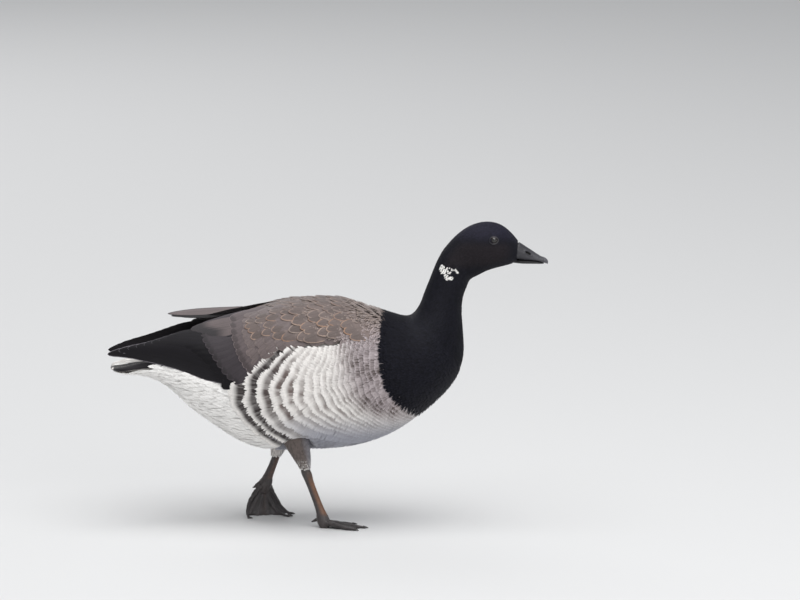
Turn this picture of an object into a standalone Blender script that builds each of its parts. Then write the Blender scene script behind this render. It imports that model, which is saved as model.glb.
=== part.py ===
"""Pale-bellied brent goose, life size, caught in mid-step.

Metres, +Z up.  The bird faces +X and its right side is towards -Y.  The origin is on the floor, under the
middle of the bounding box.  The body is one loft, from the tail to the base of the bill, parted by thin cuts
into tail, trunk, neck and head.  Wings, legs, feet, bill and eyes are solids of their own, set into it.

Lengths in the tables below are millimetres.
"""

import math

import bmesh
import bpy
import numpy as np

MM = 0.001
GAP = 0.3  # clear space between neighbouring pieces

SHARP_EDGE = math.radians(40)

BODY_SIDES = 26
RINGS_PER_SPAN = 2
BILL_SIDES = 14
LEG_SIDES = 10

# Each body station is a plane across the body, through a point of the back line and one of the belly line:
# (back x, back z, belly x, belly z, half width, level of the widest place, fullness).
# The level is a fraction of the depth, and a fullness of 2 is an ellipse.
TAIL = [
    (-219.6, 159.6, -219.6, 158.0, 8.0, 0.5, 2.0),
    (-217.6, 160.8, -217.6, 156.6, 19.0, 0.5, 2.2),
    (-211.0, 163.0, -211.0, 153.6, 28.0, 0.5, 2.3),
    (-200.0, 166.0, -200.0, 151.6, 31.0, 0.5, 2.3),
    (-185.0, 171.0, -184.5, 150.6, 29.0, 0.5, 2.2),
]
TRUNK = [
    TAIL[-1],
    (-165.0, 178.0, -163.0, 141.0, 31.0, 0.52, 2.1),
    (-140.0, 187.0, -141.0, 119.5, 40.0, 0.52, 2.1),
    (-110.0, 199.0, -116.0, 101.0, 51.5, 0.50, 2.1),
    (-80.0, 214.0, -88.0, 83.0, 60.0, 0.48, 2.15),
    (-50.0, 225.8, -58.0, 73.8, 65.0, 0.46, 2.2),
    (-18.0, 229.8, -20.0, 74.6, 67.0, 0.46, 2.2),
    (14.5, 229.4, 14.0, 76.6, 66.0, 0.46, 2.2),
    (40.0, 222.0, 44.0, 82.4, 62.0, 0.46, 2.2),
    (60.0, 215.4, 72.0, 94.6, 56.0, 0.46, 2.15),
    (74.0, 211.0, 96.0, 112.0, 49.0, 0.46, 2.1),
    (82.5, 211.0, 117.0, 130.6, 42.0, 0.47, 2.0),
    (88.5, 216.5, 131.6, 150.0, 35.0, 0.50, 2.0),
    (93.0, 224.5, 137.2, 172.5, 28.5, 0.52, 2.0),
]
NECK = [
    TRUNK[-1],
    (97.4, 237.0, 136.0, 195.5, 23.2, 0.52, 2.0),
    (102.6, 249.5, 134.4, 215.0, 20.4, 0.50, 2.0),
    (108.2, 264.0, 136.4, 232.5, 18.8, 0.50, 2.0),
    (114.8, 276.8, 143.2, 246.2, 18.2, 0.50, 2.0),
]
HEAD = [
    NECK[-1],
    (124.5, 288.4, 153.2, 252.6, 18.8, 0.50, 2.05),
    (137.5, 299.4, 162.6, 257.0, 20.0, 0.47, 2.1),
    (151.5, 305.4, 170.4, 259.2, 20.2, 0.46, 2.15),
    (164.0, 305.9, 176.6, 260.8, 18.8, 0.46, 2.2),
    (174.0, 303.2, 181.2, 262.0, 16.2, 0.46, 2.2),
    (181.4, 297.8, 184.4, 262.9, 13.2, 0.44, 2.1),
    (186.6, 291.6, 185.8, 263.2, 10.8, 0.42, 2.0),
    (191.4, 286.0, 186.8, 263.4, 9.4, 0.40, 2.0),
]

# The line where the mandibles meet, and the bill's own stations in the same form as the body's.
BILL_UPPER = [
    (191.5, 285.2, 188.0, 268.0, 9.0, 0.22, 2.0),
    (197.5, 281.2, 194.0, 267.5, 8.2, 0.20, 2.0),
    (205.5, 275.8, 203.0, 266.9, 7.4, 0.20, 2.1),
    (213.2, 270.6, 211.0, 265.9, 6.4, 0.25, 2.2),
    (218.4, 268.4, 217.0, 264.0, 4.8, 0.35, 2.2),
    (221.0, 265.4, 220.6, 262.6, 1.6, 0.50, 2.0),
]
BILL_LOWER = [
    (188.0, 267.6, 187.2, 263.7, 7.8, 0.70, 2.0),
    (194.0, 267.1, 194.0, 263.1, 7.2, 0.70, 2.0),
    (203.0, 266.5, 203.0, 262.9, 6.4, 0.70, 2.0),
    (211.0, 265.5, 211.0, 262.8, 5.0, 0.65, 2.0),
    (216.6, 263.9, 216.4, 262.9, 2.4, 0.50, 2.0),
]

EYE_RADIUS = 4.4
EYE_PLACE = (166.2, 15.6, 289.4)  # of the left eye; the right one mirrors it
EYE_SEGMENTS = 14

# Folded wing, from the shoulder back to the tip of the primaries: (x, upper edge |y|, upper edge z,
# lower edge |y|, lower edge z, bulge between the edges, thickness).
WING = [
    (26.0, 46.0, 208.0, 50.5, 200.0, 0.5, 1.4),
    (18.0, 38.0, 215.0, 53.0, 196.0, 1.5, 3.0),
    (0.0, 29.0, 222.5, 56.5, 192.5, 4.0, 5.0),
    (-30.0, 21.0, 227.4, 58.0, 190.5, 7.0, 7.0),
    (-60.0, 21.5, 221.6, 60.5, 181.0, 9.5, 8.0),
    (-84.0, 23.5, 214.0, 57.5, 157.0, 12.0, 8.0),
    (-106.0, 25.0, 208.6, 53.0, 146.0, 12.0, 7.5),
    (-124.0, 25.0, 204.6, 46.5, 152.6, 11.0, 6.5),
    (-150.0, 23.5, 199.0, 37.0, 161.0, 8.5, 5.5),
    (-180.0, 20.0, 190.6, 27.5, 166.5, 5.5, 4.0),
    (-205.0, 16.0, 183.4, 19.0, 170.2, 2.5, 2.6),
    (-216.0, 13.8, 178.0, 15.2, 171.0, 1.0, 1.4),
    (-221.0, 13.0, 174.4, 13.4, 171.8, 0.3, 0.8),
]
WING_STEPS = 20
WING_ACROSS = 9
WING_EDGE = 0.9  # thickness along its edges
WING_PROUD = 0.5  # how far it stands out of the trunk's surface, at the least
WING_ARCH = 0.8  # power of its curve across: the lower, the fuller near the edges

# The longest inner feathers of the left wing stand clear of it, as a tilted blade:
# (x, y, z, half width, half thickness).
TERTIALS = [
    (-92.0, 24.0, 214.4, 5.0, 0.7),
    (-106.0, 24.0, 211.9, 7.0, 0.8),
    (-125.0, 24.0, 209.6, 7.5, 0.8),
    (-145.0, 23.6, 208.8, 6.5, 0.7),
    (-156.0, 23.6, 208.2, 4.0, 0.6),
    (-161.0, 23.6, 207.6, 1.5, 0.5),
]
TERTIAL_TILT = math.radians(24)

# Legs: (x, |y|, z, radius fore and aft, radius from side to side), from the top down.
SHANK_RIGHT = [
    (-35.0, 28.0, 100.0, 17.0, 14.0),
    (-30.5, 28.0, 84.0, 14.0, 11.5),
    (-26.5, 28.0, 73.0, 10.8, 9.2),
    (-23.6, 28.0, 64.0, 7.8, 7.2),
    (-22.2, 28.0, 58.6, 5.8, 5.6),
]
TARSUS_RIGHT = [
    (-22.0, 28.0, 58.2, 5.2, 4.6),
    (-21.0, 28.0, 55.0, 5.8, 5.0),
    (-19.0, 28.0, 49.0, 4.9, 3.9),
    (-13.0, 28.2, 33.0, 4.6, 3.3),
    (-7.8, 28.5, 19.0, 5.0, 3.7),
    (-5.6, 28.6, 13.2, 5.8, 4.8),
]
SHANK_LEFT = [
    (-42.0, 28.0, 98.0, 14.0, 13.0),
    (-46.5, 28.0, 80.0, 11.5, 10.5),
    (-50.0, 28.0, 69.0, 8.4, 7.6),
    (-52.4, 28.0, 61.6, 5.6, 5.2),
]
TARSUS_LEFT = [
    (-52.5, 28.0, 61.2, 4.4, 3.8),
    (-55.2, 28.0, 54.0, 4.6, 3.4),
    (-59.4, 28.0, 44.0, 5.4, 3.8),
    (-61.2, 28.0, 40.0, 6.0, 4.6),
]

# The knuckle below each tarsus, in the same form as a leg.
KNUCKLE_RIGHT = [
    (-5.5, 28.6, 12.9, 5.8, 4.8),
    (-4.6, 28.8, 9.0, 6.6, 6.0),
    (-3.6, 28.8, 4.0, 6.4, 6.6),
    (-3.0, 28.8, 0.0, 4.8, 5.4),
]
KNUCKLE_LEFT = [
    (-61.4, 28.0, 39.7, 6.0, 4.6),
    (-63.0, 28.0, 35.6, 7.4, 5.8),
    (-64.8, 28.0, 30.0, 7.4, 5.2),
    (-65.6, 28.0, 25.0, 5.6, 3.6),
]
# The hind toe: (x, |y|, z, radius), from the knuckle to its claw.
HIND_TOE_RIGHT = [
    (-7.0, 27.0, 8.6, 2.2),
    (-12.0, 25.4, 7.2, 1.8),
    (-16.2, 24.2, 5.0, 0.7),
]
HIND_TOE_LEFT = [
    (-66.0, 26.4, 37.0, 2.2),
    (-71.6, 25.0, 34.0, 1.8),
    (-75.6, 24.2, 30.6, 0.7),
]

# Toes run from the knuckle to the tip of the claw, inner toe first: four points (x, |y|, z) of a curve each.
TOES_RIGHT = [
    [(-3.0, 26.0, 5.6), (8.0, 22.0, 4.0), (18.0, 17.5, 1.2), (30.0, 13.5, 0.9)],
    [(-2.0, 28.8, 6.0), (12.0, 30.0, 4.4), (27.0, 32.0, 1.2), (41.0, 34.0, 0.9)],
    [(-3.0, 31.6, 5.6), (9.0, 38.0, 4.0), (20.0, 43.5, 1.2), (31.5, 48.5, 0.9)],
]
TOES_LEFT = [
    [(-67.0, 24.6, 33.0), (-77.0, 22.6, 24.0), (-88.0, 20.6, 0.0), (-75.0, 18.6, 0.9)],
    [(-62.6, 28.4, 31.0), (-60.4, 28.4, 18.0), (-54.0, 29.4, -1.5), (-35.0, 31.0, 0.9)],
    [(-59.0, 31.6, 31.5), (-53.0, 35.0, 19.0), (-46.0, 39.6, -1.5), (-33.0, 44.0, 0.9)],
]
TOE_RADIUS = 3.0
TOE_TAPER = 0.62  # how much thinner the tip is
TOE_SWELL = 0.12  # of its radius, at the joints
TOE_JOINTS = 3
TOE_SIDES = 8
TOE_RINGS = 9
CURVE_STEP = 0.02  # of a toe's length, for its direction
WEB_HALF = 0.55  # half the thickness of the web between the toes
WEB_NOTCH = 0.16  # how far the web's front edge lies behind the toe tips, as a fraction of a toe
WEB_START = 0.05  # its ends and sides, which lie inside the knuckle and the toes
WEB_END = 0.86
WEB_SIDE = 0.04
WEB_ACROSS = 5
WEB_ALONG = 6

COLOURS = {
    "neck_black": ((0.012, 0.012, 0.014), 0.65),
    "trunk_grey": ((0.36, 0.33, 0.31), 0.8),
    "tail_black": ((0.018, 0.017, 0.018), 0.6),
    "wing_brown": ((0.10, 0.085, 0.078), 0.7),
    "leg_brown": ((0.065, 0.045, 0.035), 0.45),
    "shank_grey": ((0.22, 0.19, 0.17), 0.8),
    "bill_black": ((0.025, 0.025, 0.027), 0.3),
    "eye_black": ((0.008, 0.006, 0.005), 0.08),
}


def spline(knots, values, places):
    """A smooth curve through values at knots, read at places; its slopes are the values' own gradient."""
    values = np.asarray(values, float)
    slopes = np.gradient(values, knots, axis=0)
    places = np.clip(places, knots[0], knots[-1])
    span = np.clip(np.searchsorted(knots, places, side="right") - 1, 0, len(knots) - 2)
    width = (knots[span + 1] - knots[span])[:, None]
    t = (places - knots[span])[:, None] / width
    start = values[span] * (1 + 2 * t) * (1 - t) ** 2 + slopes[span] * width * t * (1 - t) ** 2
    end = values[span + 1] * t**2 * (3 - 2 * t) + slopes[span + 1] * width * t**2 * (t - 1)
    return start + end


def refine(rows, steps):
    """Rows of a table with smooth rows between them, steps to a span."""
    rows = np.asarray(rows, float)
    knots = np.concatenate([[0], np.cumsum(np.linalg.norm(np.diff(rows[:, :4], axis=0), axis=1))])
    inner = [np.linspace(a, b, steps, endpoint=False) for a, b in zip(knots[:-1], knots[1:])]
    return spline(knots, rows, np.concatenate([*inner, knots[-1:]]))


def signed_power(values, power):
    return np.sign(values) * np.abs(values) ** power


def station_ring(row, sides):
    """The points of a body station, as a superellipse in the plane through its back and belly points."""
    back_x, back_z, belly_x, belly_z, half_width, level, fullness = row
    angles = np.linspace(0, 2 * math.pi, sides, endpoint=False)
    across = half_width * signed_power(np.cos(angles), 2 / fullness)
    up = signed_power(np.sin(angles), 2 / fullness)
    height = level + np.where(up > 0, 1 - level, level) * up
    return np.stack(
        [belly_x + (back_x - belly_x) * height, across, belly_z + (back_z - belly_z) * height],
        axis=1,
    )


def oval(centre, first_radius, second_radius, sides, turn=0.0):
    """A ring about a point, from the vectors to its ends on two axes, turned by a share of a side."""
    angles = 2 * math.pi * (np.arange(sides)[:, None] + turn) / sides
    return np.array(centre) + np.cos(angles) * first_radius + np.sin(angles) * second_radius


def new_material(name):
    colour, roughness = COLOURS[name]
    material = bpy.data.materials.get(name) or bpy.data.materials.new(name)
    material.use_nodes = True
    shader = material.node_tree.nodes["Principled BSDF"]
    shader.inputs["Base Color"].default_value = (*colour, 1)
    shader.inputs["Roughness"].default_value = roughness
    shader.inputs["Metallic"].default_value = 0.0
    return material


def loft(name, rings, collection, material=None):
    """A closed solid through rings of equal length, with flat ends and its origin in its middle."""
    rings = np.asarray(rings, float)
    middle = (rings.reshape(-1, 3).min(axis=0) + rings.reshape(-1, 3).max(axis=0)) / 2
    mesh = bmesh.new()
    loops = [[mesh.verts.new((point - middle) * MM) for point in ring] for ring in rings]
    for here, there in zip(loops[:-1], loops[1:]):
        for i in range(len(here)):
            j = (i + 1) % len(here)
            mesh.faces.new((here[i], here[j], there[j], there[i]))
    mesh.faces.new(loops[0][::-1])
    mesh.faces.new(loops[-1])
    if mesh.calc_volume(signed=True) < 0:
        bmesh.ops.reverse_faces(mesh, faces=mesh.faces)
    data = bpy.data.meshes.new(name)
    mesh.to_mesh(data)
    mesh.free()
    data.shade_smooth()
    data.set_sharp_from_angle(angle=SHARP_EDGE)
    thing = bpy.data.objects.new(name, data)
    thing.location = middle * MM
    collection.objects.link(thing)
    if material:
        data.materials.append(new_material(material))
    return thing


def boolean(target, operation, other):
    """Joins or cuts target with other, which is kept as a hidden cutter."""
    modifier = target.modifiers.new(other.name, "BOOLEAN")
    modifier.operation = operation
    # The exact solver loses the left foot where the thin web runs into a toe.
    modifier.solver = "MANIFOLD" if operation == "UNION" else "EXACT"
    modifier.object = other
    other.hide_render = True
    other.display_type = "WIRE"


def step_forward(row, distance):
    """The same station a little further towards the head."""
    moved = np.array(row, float)
    along = np.array([moved[1] - moved[3], moved[2] - moved[0]])
    along *= distance / np.linalg.norm(along)
    moved[[0, 2]] += along[0]
    moved[[1, 3]] += along[1]
    return moved


def body_part(name, table, collection, material, after_cut=True):
    rows = refine(table, RINGS_PER_SPAN)
    if after_cut:
        rows[0] = step_forward(rows[0], GAP)
    return loft(name, [station_ring(row, BODY_SIDES) for row in rows], collection, material)


def trunk_station(x, z, rows):
    """The trunk's station whose plane passes through x at height z."""
    share = (z - rows[:, 3]) / (rows[:, 1] - rows[:, 3])
    plane_x = rows[:, 2] + share * (rows[:, 0] - rows[:, 2])
    return np.array([np.interp(x, plane_x, column) for column in rows.T])


def stand_proud(point, rows, proud):
    """A point moved out, across the bird, to lie at least this far outside the trunk."""
    x, y, z = point
    _, back_z, _, belly_z, half_width, level, fullness = trunk_station(x, z, rows)
    centre_z = belly_z + level * (back_z - belly_z)
    up = z - centre_z
    half_height = (back_z - centre_z) if up > 0 else (centre_z - belly_z)
    share = (abs(y / half_width) ** fullness + abs(up / half_height) ** fullness) ** (1 / fullness)
    reach = math.hypot(y, up)
    scale = max(1.0, 1 / share + proud / reach)
    return np.array([x, y * scale, centre_z + up * scale])


def wing_ring(row, side, grow, trunk_rows):
    """One section of a folded wing: down its outer face, then back up the inner one."""
    x, upper_y, upper_z, lower_y, lower_z, bulge, thickness = row
    upper = np.array([upper_y, upper_z])
    lower = np.array([lower_y, lower_z])
    chord = (lower - upper) / np.linalg.norm(lower - upper)
    outwards = np.array([-chord[1], chord[0]])
    outer, inner = [], []
    for share in np.linspace(0, 1, WING_ACROSS):
        arch = math.sin(math.pi * share) ** WING_ARCH
        y, z = upper + (lower - upper) * share + outwards * bulge * arch + chord * grow * (2 * share - 1)
        point = np.array([x, y, z])
        if x > TRUNK[1][0]:
            point = stand_proud(point, trunk_rows, WING_PROUD)
        depth = WING_EDGE + max(thickness - WING_EDGE, 0) * arch
        normal = np.array([0, *outwards])
        outer.append(point + normal * grow)
        inner.append(point - normal * (depth + grow))
    return np.array(outer + inner[::-1]) * (1, side, 1)


def wing(name, side, grow, collection, material=None):
    table = np.array(WING)
    stations = spline(-table[:, 0], table, np.linspace(-table[0, 0], -table[-1, 0], WING_STEPS))
    stations[0, 0] += grow
    stations[-1, 0] -= grow
    trunk_rows = refine(TRUNK, RINGS_PER_SPAN)
    return loft(name, [wing_ring(row, side, grow, trunk_rows) for row in stations], collection, material)


def tertials(name, collection, material):
    """The raised feathers of the left wing, as one blade."""
    flat = np.array([0, math.cos(TERTIAL_TILT), math.sin(TERTIAL_TILT)])
    through = np.array([0, -math.sin(TERTIAL_TILT), math.cos(TERTIAL_TILT)])
    rings = [
        oval((x, y, z), flat * half_width, through * half_thickness, LEG_SIDES)
        for x, y, z, half_width, half_thickness in refine(TERTIALS, RINGS_PER_SPAN)
    ]
    return loft(name, rings, collection, material)


def leg_part(name, table, side, grow, collection, material=None):
    """A piece of leg through level rings, so that it meets the next piece face to face."""
    rows = refine(table, RINGS_PER_SPAN)
    rows[:, 3:] += grow
    rows[-1, 2] -= grow
    rings = [
        oval((x, side * y, z), np.array([fore, 0, 0]), np.array([0, lateral, 0]), LEG_SIDES)
        for x, y, z, fore, lateral in rows
    ]
    return loft(name, rings, collection, material)


def hind_toe(name, table, side, collection):
    """The short hind toe, through upright rings."""
    rings = [
        oval((x, side * y, z), np.array([0, radius, 0]), np.array([0, 0, radius]), LEG_SIDES)
        for x, y, z, radius in refine(table, RINGS_PER_SPAN)
    ]
    return loft(name, rings, collection)


def toe_curve(points, share):
    """A Bezier curve through a toe's four control points."""
    a, b, c, d = (np.array(point, float) for point in points)
    rest = 1 - share
    return a * rest**3 + 3 * b * share * rest**2 + 3 * c * share**2 * rest + d * share**3


def on_floor(points):
    """Points with none below the floor."""
    return np.maximum(points, (-math.inf, -math.inf, 0))


def toe(name, points, side, collection, material=None):
    """A toe with swollen joints, tapering to its claw, and flat beneath where it presses on the floor."""
    rings = []
    for share in np.linspace(0, 1, TOE_RINGS):
        centre = toe_curve(points, share)
        along = toe_curve(points, share + CURVE_STEP) - centre
        along /= np.linalg.norm(along)
        sideways = np.array([0, 1, 0]) - along * along[1]
        sideways /= np.linalg.norm(sideways)
        joints = 1 + TOE_SWELL * math.cos(2 * math.pi * TOE_JOINTS * share)
        radius = TOE_RADIUS * (1 - TOE_TAPER * share) * joints
        ring = oval(centre, sideways * radius, np.cross(along, sideways) * radius, TOE_SIDES, turn=0.5)
        rings.append(on_floor(ring))
    return loft(name, np.array(rings) * (1, side, 1), collection, material)


def web_point(inner_toe, outer_toe, across, along):
    """A point of the web's middle, whose front edge curves back between the toe tips."""
    reach = along * (1 - WEB_NOTCH * math.sin(math.pi * across))
    return toe_curve(inner_toe, reach) * (1 - across) + toe_curve(outer_toe, reach) * across


def web_normal(inner_toe, outer_toe, across, along):
    along = max(along, CURVE_STEP)
    here = web_point(inner_toe, outer_toe, across, along)
    ahead = here - web_point(inner_toe, outer_toe, across, along - CURVE_STEP)
    outward = web_point(inner_toe, outer_toe, across + CURVE_STEP, along) - here
    normal = np.cross(ahead, outward)
    return normal / np.linalg.norm(normal)


def web(name, inner_toe, outer_toe, side, collection):
    """The skin between two toes, as a thin sheet that ends inside both."""
    rings = []
    for along in np.linspace(WEB_START, WEB_END, WEB_ALONG):
        upper, lower = [], []
        for across in np.linspace(WEB_SIDE, 1 - WEB_SIDE, WEB_ACROSS):
            centre = web_point(inner_toe, outer_toe, across, along)
            centre[2] = max(centre[2], WEB_HALF)
            thickness = web_normal(inner_toe, outer_toe, across, along) * WEB_HALF
            upper.append(centre + thickness)
            lower.append(centre - thickness)
        rings.append(on_floor(np.array(upper + lower[::-1])))
    return loft(name, np.array(rings) * (1, side, 1), collection)


def foot(name, toes, knuckle, hind, side, parts, cutters):
    """Three toes, the webs between them, the knuckle and the hind toe, joined into one piece."""
    inner, middle, outer = toes
    piece = toe(name, middle, side, parts, "leg_brown")
    boolean(piece, "UNION", leg_part(name + "_knuckle", knuckle, side, 0, cutters))
    boolean(piece, "UNION", toe(name + "_inner_toe", inner, side, cutters))
    boolean(piece, "UNION", toe(name + "_outer_toe", outer, side, cutters))
    boolean(piece, "UNION", web(name + "_inner_web", inner, middle, side, cutters))
    boolean(piece, "UNION", web(name + "_outer_web", middle, outer, side, cutters))
    boolean(piece, "UNION", hind_toe(name + "_hind_toe", hind, side, cutters))


def eye(name, side, grow, collection, material=None):
    x, y, z = EYE_PLACE
    data = bpy.data.meshes.new(name)
    ball = bmesh.new()
    bmesh.ops.create_uvsphere(
        ball, u_segments=EYE_SEGMENTS, v_segments=EYE_SEGMENTS // 2, radius=(EYE_RADIUS + grow) * MM
    )
    ball.to_mesh(data)
    ball.free()
    data.shade_smooth()
    thing = bpy.data.objects.new(name, data)
    thing.location = (x * MM, side * y * MM, z * MM)
    thing.rotation_euler.x = math.pi / 2
    collection.objects.link(thing)
    if material:
        data.materials.append(new_material(material))
    return thing


def clear_scene():
    for thing in list(bpy.data.objects):
        bpy.data.objects.remove(thing)


def new_collection(name):
    collection = bpy.data.collections.new(name)
    bpy.context.scene.collection.children.link(collection)
    return collection


def build_body(parts):
    body_part("tail", TAIL, parts, "tail_black", after_cut=False)
    trunk = body_part("trunk", TRUNK, parts, "trunk_grey")
    body_part("neck", NECK, parts, "neck_black")
    head = body_part("head", HEAD, parts, "neck_black")
    return trunk, head


def build_bill(parts):
    for name, table in (("bill_upper", BILL_UPPER), ("bill_lower", BILL_LOWER)):
        rows = refine(table, RINGS_PER_SPAN)
        loft(name, [station_ring(row, BILL_SIDES) for row in rows], parts, "bill_black")


def step_up(row):
    """A leg's first ring again, a gap higher, so that its socket clears the end of the leg."""
    x, y, z, fore, lateral = row
    return (x, y, z + GAP, fore, lateral)


def build_side(label, side, parts, cutters, trunk, head):
    """Everything that the bird has on its left (side 1) and on its right (side -1)."""
    right = label == "right"
    wing("wing_" + label, side, 0, parts, "wing_brown")
    boolean(trunk, "DIFFERENCE", wing("cut_wing_" + label, side, GAP, cutters))

    shank = SHANK_RIGHT if right else SHANK_LEFT
    leg_part("shank_" + label, shank, side, 0, parts, "shank_grey")
    socket = [step_up(shank[0]), *shank]
    boolean(trunk, "DIFFERENCE", leg_part("cut_shank_" + label, socket, side, GAP, cutters))
    leg_part("tarsus_" + label, TARSUS_RIGHT if right else TARSUS_LEFT, side, 0, parts, "leg_brown")
    foot(
        "foot_" + label,
        TOES_RIGHT if right else TOES_LEFT,
        KNUCKLE_RIGHT if right else KNUCKLE_LEFT,
        HIND_TOE_RIGHT if right else HIND_TOE_LEFT,
        side,
        parts,
        cutters,
    )

    eye("eye_" + label, side, 0, parts, "eye_black")
    boolean(head, "DIFFERENCE", eye("cut_eye_" + label, side, GAP, cutters))


def main():
    clear_scene()
    parts = new_collection("brent_goose")
    cutters = new_collection("cutters")
    trunk, head = build_body(parts)
    build_bill(parts)
    build_side("left", 1, parts, cutters, trunk, head)
    build_side("right", -1, parts, cutters, trunk, head)
    tertials("tertials_left", parts, "wing_brown")


main()
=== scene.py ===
"""The looks of the brent goose: a skin under its plumage, feathers laid tract by tract, bill, eyes and legs.

Metres, +Z up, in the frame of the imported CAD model: the bird faces +X and its right side is towards -Y.
The CAD solids are read into charts, which are grids of surface points read at (u, v).  A feather is a path
over a chart with a width and a height, so that it follows the body under it.  Lengths named in the tables
are millimetres.
"""

import math
from dataclasses import dataclass

import bpy
import numpy as np
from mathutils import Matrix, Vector
from mathutils.bvhtree import BVHTree


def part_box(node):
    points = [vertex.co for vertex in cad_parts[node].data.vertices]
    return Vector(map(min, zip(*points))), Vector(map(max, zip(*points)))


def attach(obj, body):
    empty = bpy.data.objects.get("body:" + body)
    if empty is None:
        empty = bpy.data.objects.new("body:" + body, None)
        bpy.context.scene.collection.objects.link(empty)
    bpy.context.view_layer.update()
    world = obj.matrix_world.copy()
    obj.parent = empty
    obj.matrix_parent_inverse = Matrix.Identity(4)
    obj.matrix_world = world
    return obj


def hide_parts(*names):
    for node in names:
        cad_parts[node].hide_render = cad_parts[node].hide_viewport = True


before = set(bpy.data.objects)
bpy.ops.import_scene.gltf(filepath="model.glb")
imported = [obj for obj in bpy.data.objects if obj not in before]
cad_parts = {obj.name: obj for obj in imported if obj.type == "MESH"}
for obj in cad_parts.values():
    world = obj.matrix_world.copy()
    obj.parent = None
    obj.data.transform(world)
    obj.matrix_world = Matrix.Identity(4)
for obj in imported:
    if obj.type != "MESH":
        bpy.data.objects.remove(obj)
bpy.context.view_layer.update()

MM = 0.001
LEFT = np.array([0.0, 1.0, 0.0])
UP = np.array([0.0, 0.0, 1.0])
SIDES = {"left": 1, "right": -1}

# The camera sees a frame this wide at the bird, from its right and a little above.
VIEW_WIDTH = 0.8
VIEW_CENTRE = (0.0725, 0.0, 0.2261)
VIEW_DISTANCE = 12.0
VIEW_ELEVATION = math.radians(9.5)
SENSOR_WIDTH = 36.0

# The planes that the body's chart is read in, from the tail to the base of the bill: (x, z, lean), where
# x and z are the middle of the body, and the lean in degrees is the plane's, towards the tail.
SPINE = [
    (-218.5, 159.2, 0),
    (-185.0, 161.0, 0),
    (-140.0, 153.0, 0),
    (-84.0, 148.5, -3),
    (-20.0, 152.0, -1),
    (42.0, 152.0, 2),
    (66.0, 155.0, 6),
    (85.0, 161.5, 13),
    (99.8, 170.8, 23),
    (110.0, 183.2, 33),
    (115.1, 198.5, 40),
    (118.5, 232.0, 43),
    (129.0, 261.5, 42),
    (150.0, 278.2, 31),
    (170.3, 283.3, 16),
    (183.0, 280.3, 5),
    (188.6, 275.0, -8),
]
BODY_ROWS = 260
BODY_COLUMNS = 144
CHART_SMOOTHING = 10
CAST_REACH = 0.13  # more than from the spine to any point of the body

# Depth of the coat over the skin, from the tail to the bill: (x of the spine, depth).
COAT_DEPTH = [
    (-219, 3.2),
    (-185, 3.6),
    (-150, 3.6),
    (-80, 4.6),
    (60, 4.4),
    (100, 3.2),
    (118, 2.0),
    (150, 1.1),
    (189, 0.35),
]
WING_FLESH = (-140, -105)  # x over which the flesh of the folded wing begins, behind and ahead
SKIN_VOXEL = 0.0022
SKIN_SMOOTHING = 6
SHARP_EDGE = math.radians(60)  # edges are drawn smooth up to this angle
TINY = 1e-12  # keeps a division from a zero


def unit(vectors):
    """The vectors at a length of 1."""
    return vectors / np.maximum(np.linalg.norm(vectors, axis=-1, keepdims=True), TINY)


def smoothstep(low, high, values):
    """0 at low, 1 at high and smooth between.  high may be the lower of the two."""
    share = np.clip((values - low) / (high - low), 0, 1)
    return share * share * (3 - 2 * share)


def mix(first, second, share):
    """Colours or arrays of them, from first where share is 0 to second where it is 1."""
    share = np.asarray(share)[..., None]
    return np.asarray(first) * (1 - share) + np.asarray(second) * share


def mix_numbers(first, second, share):
    """The same for numbers."""
    return first * (1 - share) + second * share


def linear(*colour):
    """A colour of 0 to 255, as seen on a screen, in the renderer's linear numbers."""
    seen = np.array(colour, float) / 255
    return np.where(seen <= 0.04045, seen / 12.92, ((seen + 0.055) / 1.055) ** 2.4)


# ---------------------------------------------------------------------------------------------- charts


class Chart:
    """A surface as a grid of points, read at (u, v), each from 0 to 1.  Where it is closed, v goes round."""

    def __init__(self, points, closed):
        self.points = points
        self.closed = closed
        self.rows, self.columns = points.shape[:2]
        self.du, self.dv = self.slopes(points)
        self.normals = unit(np.cross(self.du, self.dv))

    def slopes(self, grid):
        """How fast a grid's values change with u and with v."""
        by_u = np.gradient(grid, axis=0) * (self.rows - 1)
        if self.closed:
            by_v = (np.roll(grid, -1, axis=1) - np.roll(grid, 1, axis=1)) / 2 * self.columns
        else:
            by_v = np.gradient(grid, axis=1) * (self.columns - 1)
        return by_u, by_v

    def read(self, grid, u, v):
        """The grid's values at (u, v), carried on in a straight line past its open ends."""
        row = u * (self.rows - 1)
        i = np.clip(np.floor(row).astype(int), 0, self.rows - 2)
        if self.closed:
            column = (v % 1) * self.columns
            j = np.floor(column).astype(int) % self.columns
            k = (j + 1) % self.columns
        else:
            column = v * (self.columns - 1)
            j = np.clip(np.floor(column).astype(int), 0, self.columns - 2)
            k = j + 1
        down = (row - i)[..., None]
        along = (column - j)[..., None]
        upper = grid[i, j] * (1 - along) + grid[i, k] * along
        lower = grid[i + 1, j] * (1 - along) + grid[i + 1, k] * along
        return upper * (1 - down) + lower * down

    def point(self, u, v):
        return self.read(self.points, u, v)

    def normal(self, u, v):
        return unit(self.read(self.normals, u, v))

    def step(self, u, v, direction, distance):
        """The place reached from (u, v) by this distance along a direction that lies in the surface."""
        along = self.read(self.du, u, v)
        round_ = self.read(self.dv, u, v)
        e = (along * along).sum(-1)
        f = (along * round_).sum(-1)
        g = (round_ * round_).sum(-1)
        p = (along * direction).sum(-1)
        q = (round_ * direction).sum(-1)
        size = np.maximum(e * g - f * f, TINY)
        return u + distance * (g * p - f * q) / size, v + distance * (e * q - f * p) / size


def surface_of(*nodes):
    """The triangles of these CAD nodes, for casting rays at."""
    points, faces = [], []
    for name in nodes:
        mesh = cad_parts[name].data
        start = len(points)
        points += [vertex.co.copy() for vertex in mesh.vertices]
        faces += [[start + i for i in polygon.vertices] for polygon in mesh.polygons]
    return BVHTree.FromPolygons(points, faces)


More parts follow.
